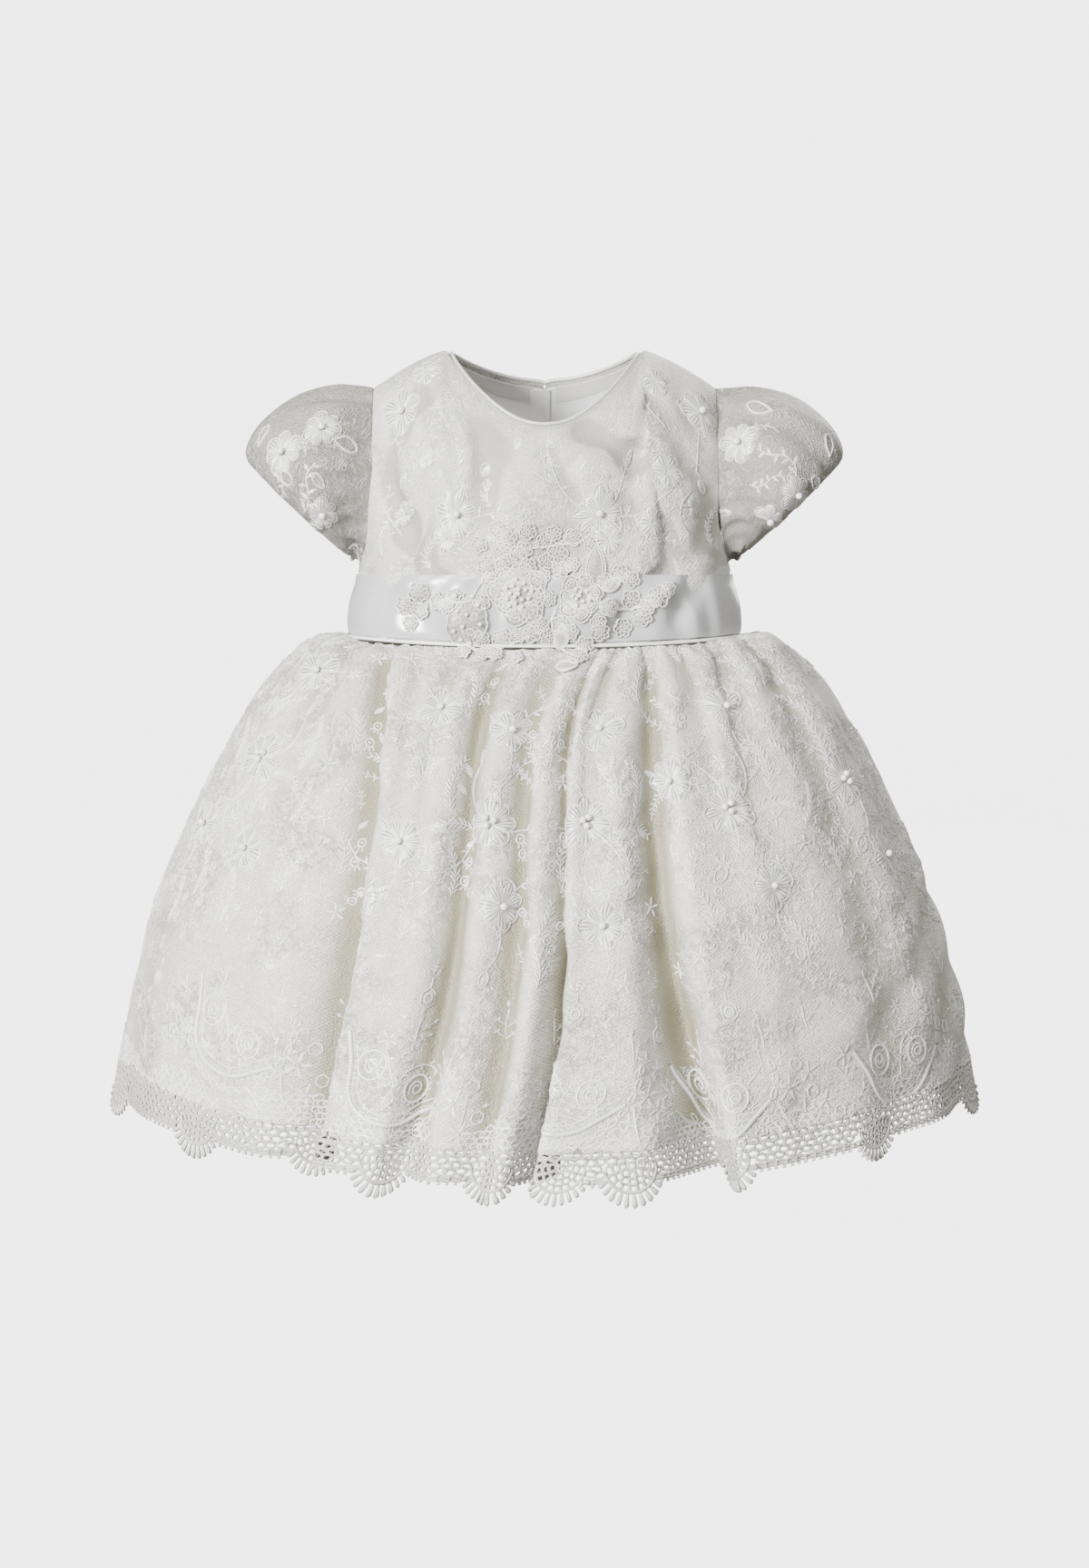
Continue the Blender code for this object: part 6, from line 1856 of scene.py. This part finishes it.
for across, down, radius in SPRAY_RING_FLOWERS:
    work.sew(ring_flower(radius * 1.15, 5 + int(radius * 2) % 2), ground.under(across, down), across % 60)
for pixels in SPRAY_STEMS:
    root, run = ground.local_run(pixels)
    work.sew(rope(run, 1.4, 0.7), root)
for across, down, length, width, turn in SPRAY_TALL_LEAVES:
    work.sew(tall_leaf(length, width), ground.under(across, down), turn)
edge = scalloped(11.0, 9, 0.08, stretch=1.2)
for part in (pad(edge, 0.7), thread(edge, 0.95, 0.95, True, lift=0.3)):
    work.sew(part, ground.under(BEAD_MIDDLE[0], BEAD_MIDDLE[1] + 6), 20)
work.sew(pearls_at(*((a, b, 1.1, 0.6) for a, b in BEADS)), ground.under(*BEAD_MIDDLE))
for k, (a, b) in enumerate(BEAD_RINGS):
    place = ground.under(BEAD_MIDDLE[0] + 2 * a, BEAD_MIDDLE[1] + 2 * b)
    work.sew(oval(3.4, 4.2, 8, 0.75, lift=0.6), place, 40 * k)
for across, down, *shape in SPRAY_PEARL_FLOWERS:
    work.sew(pearl_flower(*shape), ground.under(across, down))
spray_thread = embroidery_thread(
    "corded_spray_thread", (0.95, 0.94, 0.915), (0.14, 0.13, 0.105), 0.3, 560.0, 0.2
)
work.lay("waist_flower_spray", spray_thread, 0.2 * MM, "sash_applique")


# ---- Back buttons ----
# Three small domed buttons covered in white satin, sewn beside the back opening. A thin rolled loop
# from the other edge passes round each of them.
BUTTON_RADIUS = 4.5 * MM
BUTTON_HEIGHT = 2.8 * MM
BUTTON_X = 6.5 * MM
BUTTON_LEVELS = (0.86, 0.62, 0.38)
LOOP_RADIUS = 0.5 * MM
BUTTON_PROFILE = (
    # shares of the radius and of the height, from the crown to the back
    (0.02, 1), (0.35, 0.96), (0.65, 0.82), (0.88, 0.55), (1, 0.28), (0.97, 0.1), (0.8, 0), (0.02, 0),
)
for k, level in enumerate(BUTTON_LEVELS):
    spots = body_point(np.full(3, BUTTON_X), np.array([level, level + 0.02, level - 0.02]), True)
    near = spots[1] - spots[2]
    out = np.array([0.0, near[2], -near[1]])
    out /= np.linalg.norm(out)
    foot = spots[0] + out * (SEAM_GAP + 0.25 * MM)
    up = np.cross(out, (1.0, 0.0, 0.0))
    ring, bend_round = (
        np.cos(turn)[:, None] * np.array([1.0, 0, 0]) + np.sin(turn)[:, None] * up
        for turn in (np.arange(36) * 2 * math.pi / 36, np.radians(np.linspace(-100, 100, 25)))
    )
    shape = np.array([
        foot + ring * reach * BUTTON_RADIUS + out * high * BUTTON_HEIGHT for reach, high in BUTTON_PROFILE
    ])
    faces = grid_faces(len(BUTTON_PROFILE), 36, closed=True)
    # The buttons and their loops share the neck piping's greyer satin: painted shade.
    cover = add_piece(f"covered_button_{k + 1}", shape, faces, shaded_piping_satin)
    fit(cover, "white_satin", f"back_button_{k + 1}")
    run = foot + out * 0.9 * MM + bend_round * (BUTTON_RADIUS + 0.9 * MM)
    ends = [foot + up * side * 2.2 * MM + np.array([-8.0 * MM, 0, 0]) + out * 0.7 * MM for side in (-1, 1)]
    run = np.concatenate([ends[:1], run, ends[1:]])
    fit(add_cord(f"button_loop_{k + 1}", run, LOOP_RADIUS, shaded_piping_satin), "white_satin")


# ---- Sewn pearls ----
# Small round imitation pearls, each sewn through its middle to the flowers of the lace. They are
# glass with a pearly lacquer, smooth, with a soft bright spot and a warm grey shade.
def pearl_shape(steps):
    """A ball made of six square patches, so that it has four-sided faces only."""
    line = np.tan(np.linspace(-math.pi / 4, math.pi / 4, steps + 1))
    u, v = np.meshgrid(line, line, indexing="ij")
    patches, faces = [], []
    for k, (axis, sign) in enumerate(((0, 1), (0, -1), (1, 1), (1, -1), (2, 1), (2, -1))):
        patch = np.zeros((steps + 1, steps + 1, 3))
        patch[..., axis] = sign
        patch[..., (axis + 1) % 3] = u * sign
        patch[..., (axis + 2) % 3] = v
        patches.append(unit(patch))
        faces.append(grid_faces(steps + 1, steps + 1, start=k * (steps + 1) ** 2))
    return np.concatenate([p.reshape(-1, 3) for p in patches]), np.concatenate(faces)[:, ::-1]


pearl_lacquer = Finish("pearl_lacquer", Specular_IOR_Level=0.6, Coat_Roughness=0.08, Coat_Weight=0.5)
place = pearl_lacquer.node("ShaderNodeTexCoord", output=3)
cloud = pearl_lacquer.noise(place, 900.0, 2.0)
pearl_lacquer.fill(pearl_lacquer.shader, {
    "Base Color": pearl_lacquer.between(cloud, (0.92, 0.915, 0.89), (0.80, 0.79, 0.76)),
    "Roughness": 0.18 + cloud * 0.08,
})
ball, ball_faces = pearl_shape(4)
middles = np.concatenate([spots for spots, _ in pearl_spots])
radii = np.concatenate([sizes for _, sizes in pearl_spots])
points = (middles[:, None] + ball[None] * radii[:, None, None]).reshape(-1, 3)
faces = (ball_faces[None] + np.arange(len(middles))[:, None, None] * len(ball)).reshape(-1, 4)
fit(add_piece("sewn_pearls", points, faces, pearl_lacquer), "ivory_lace")
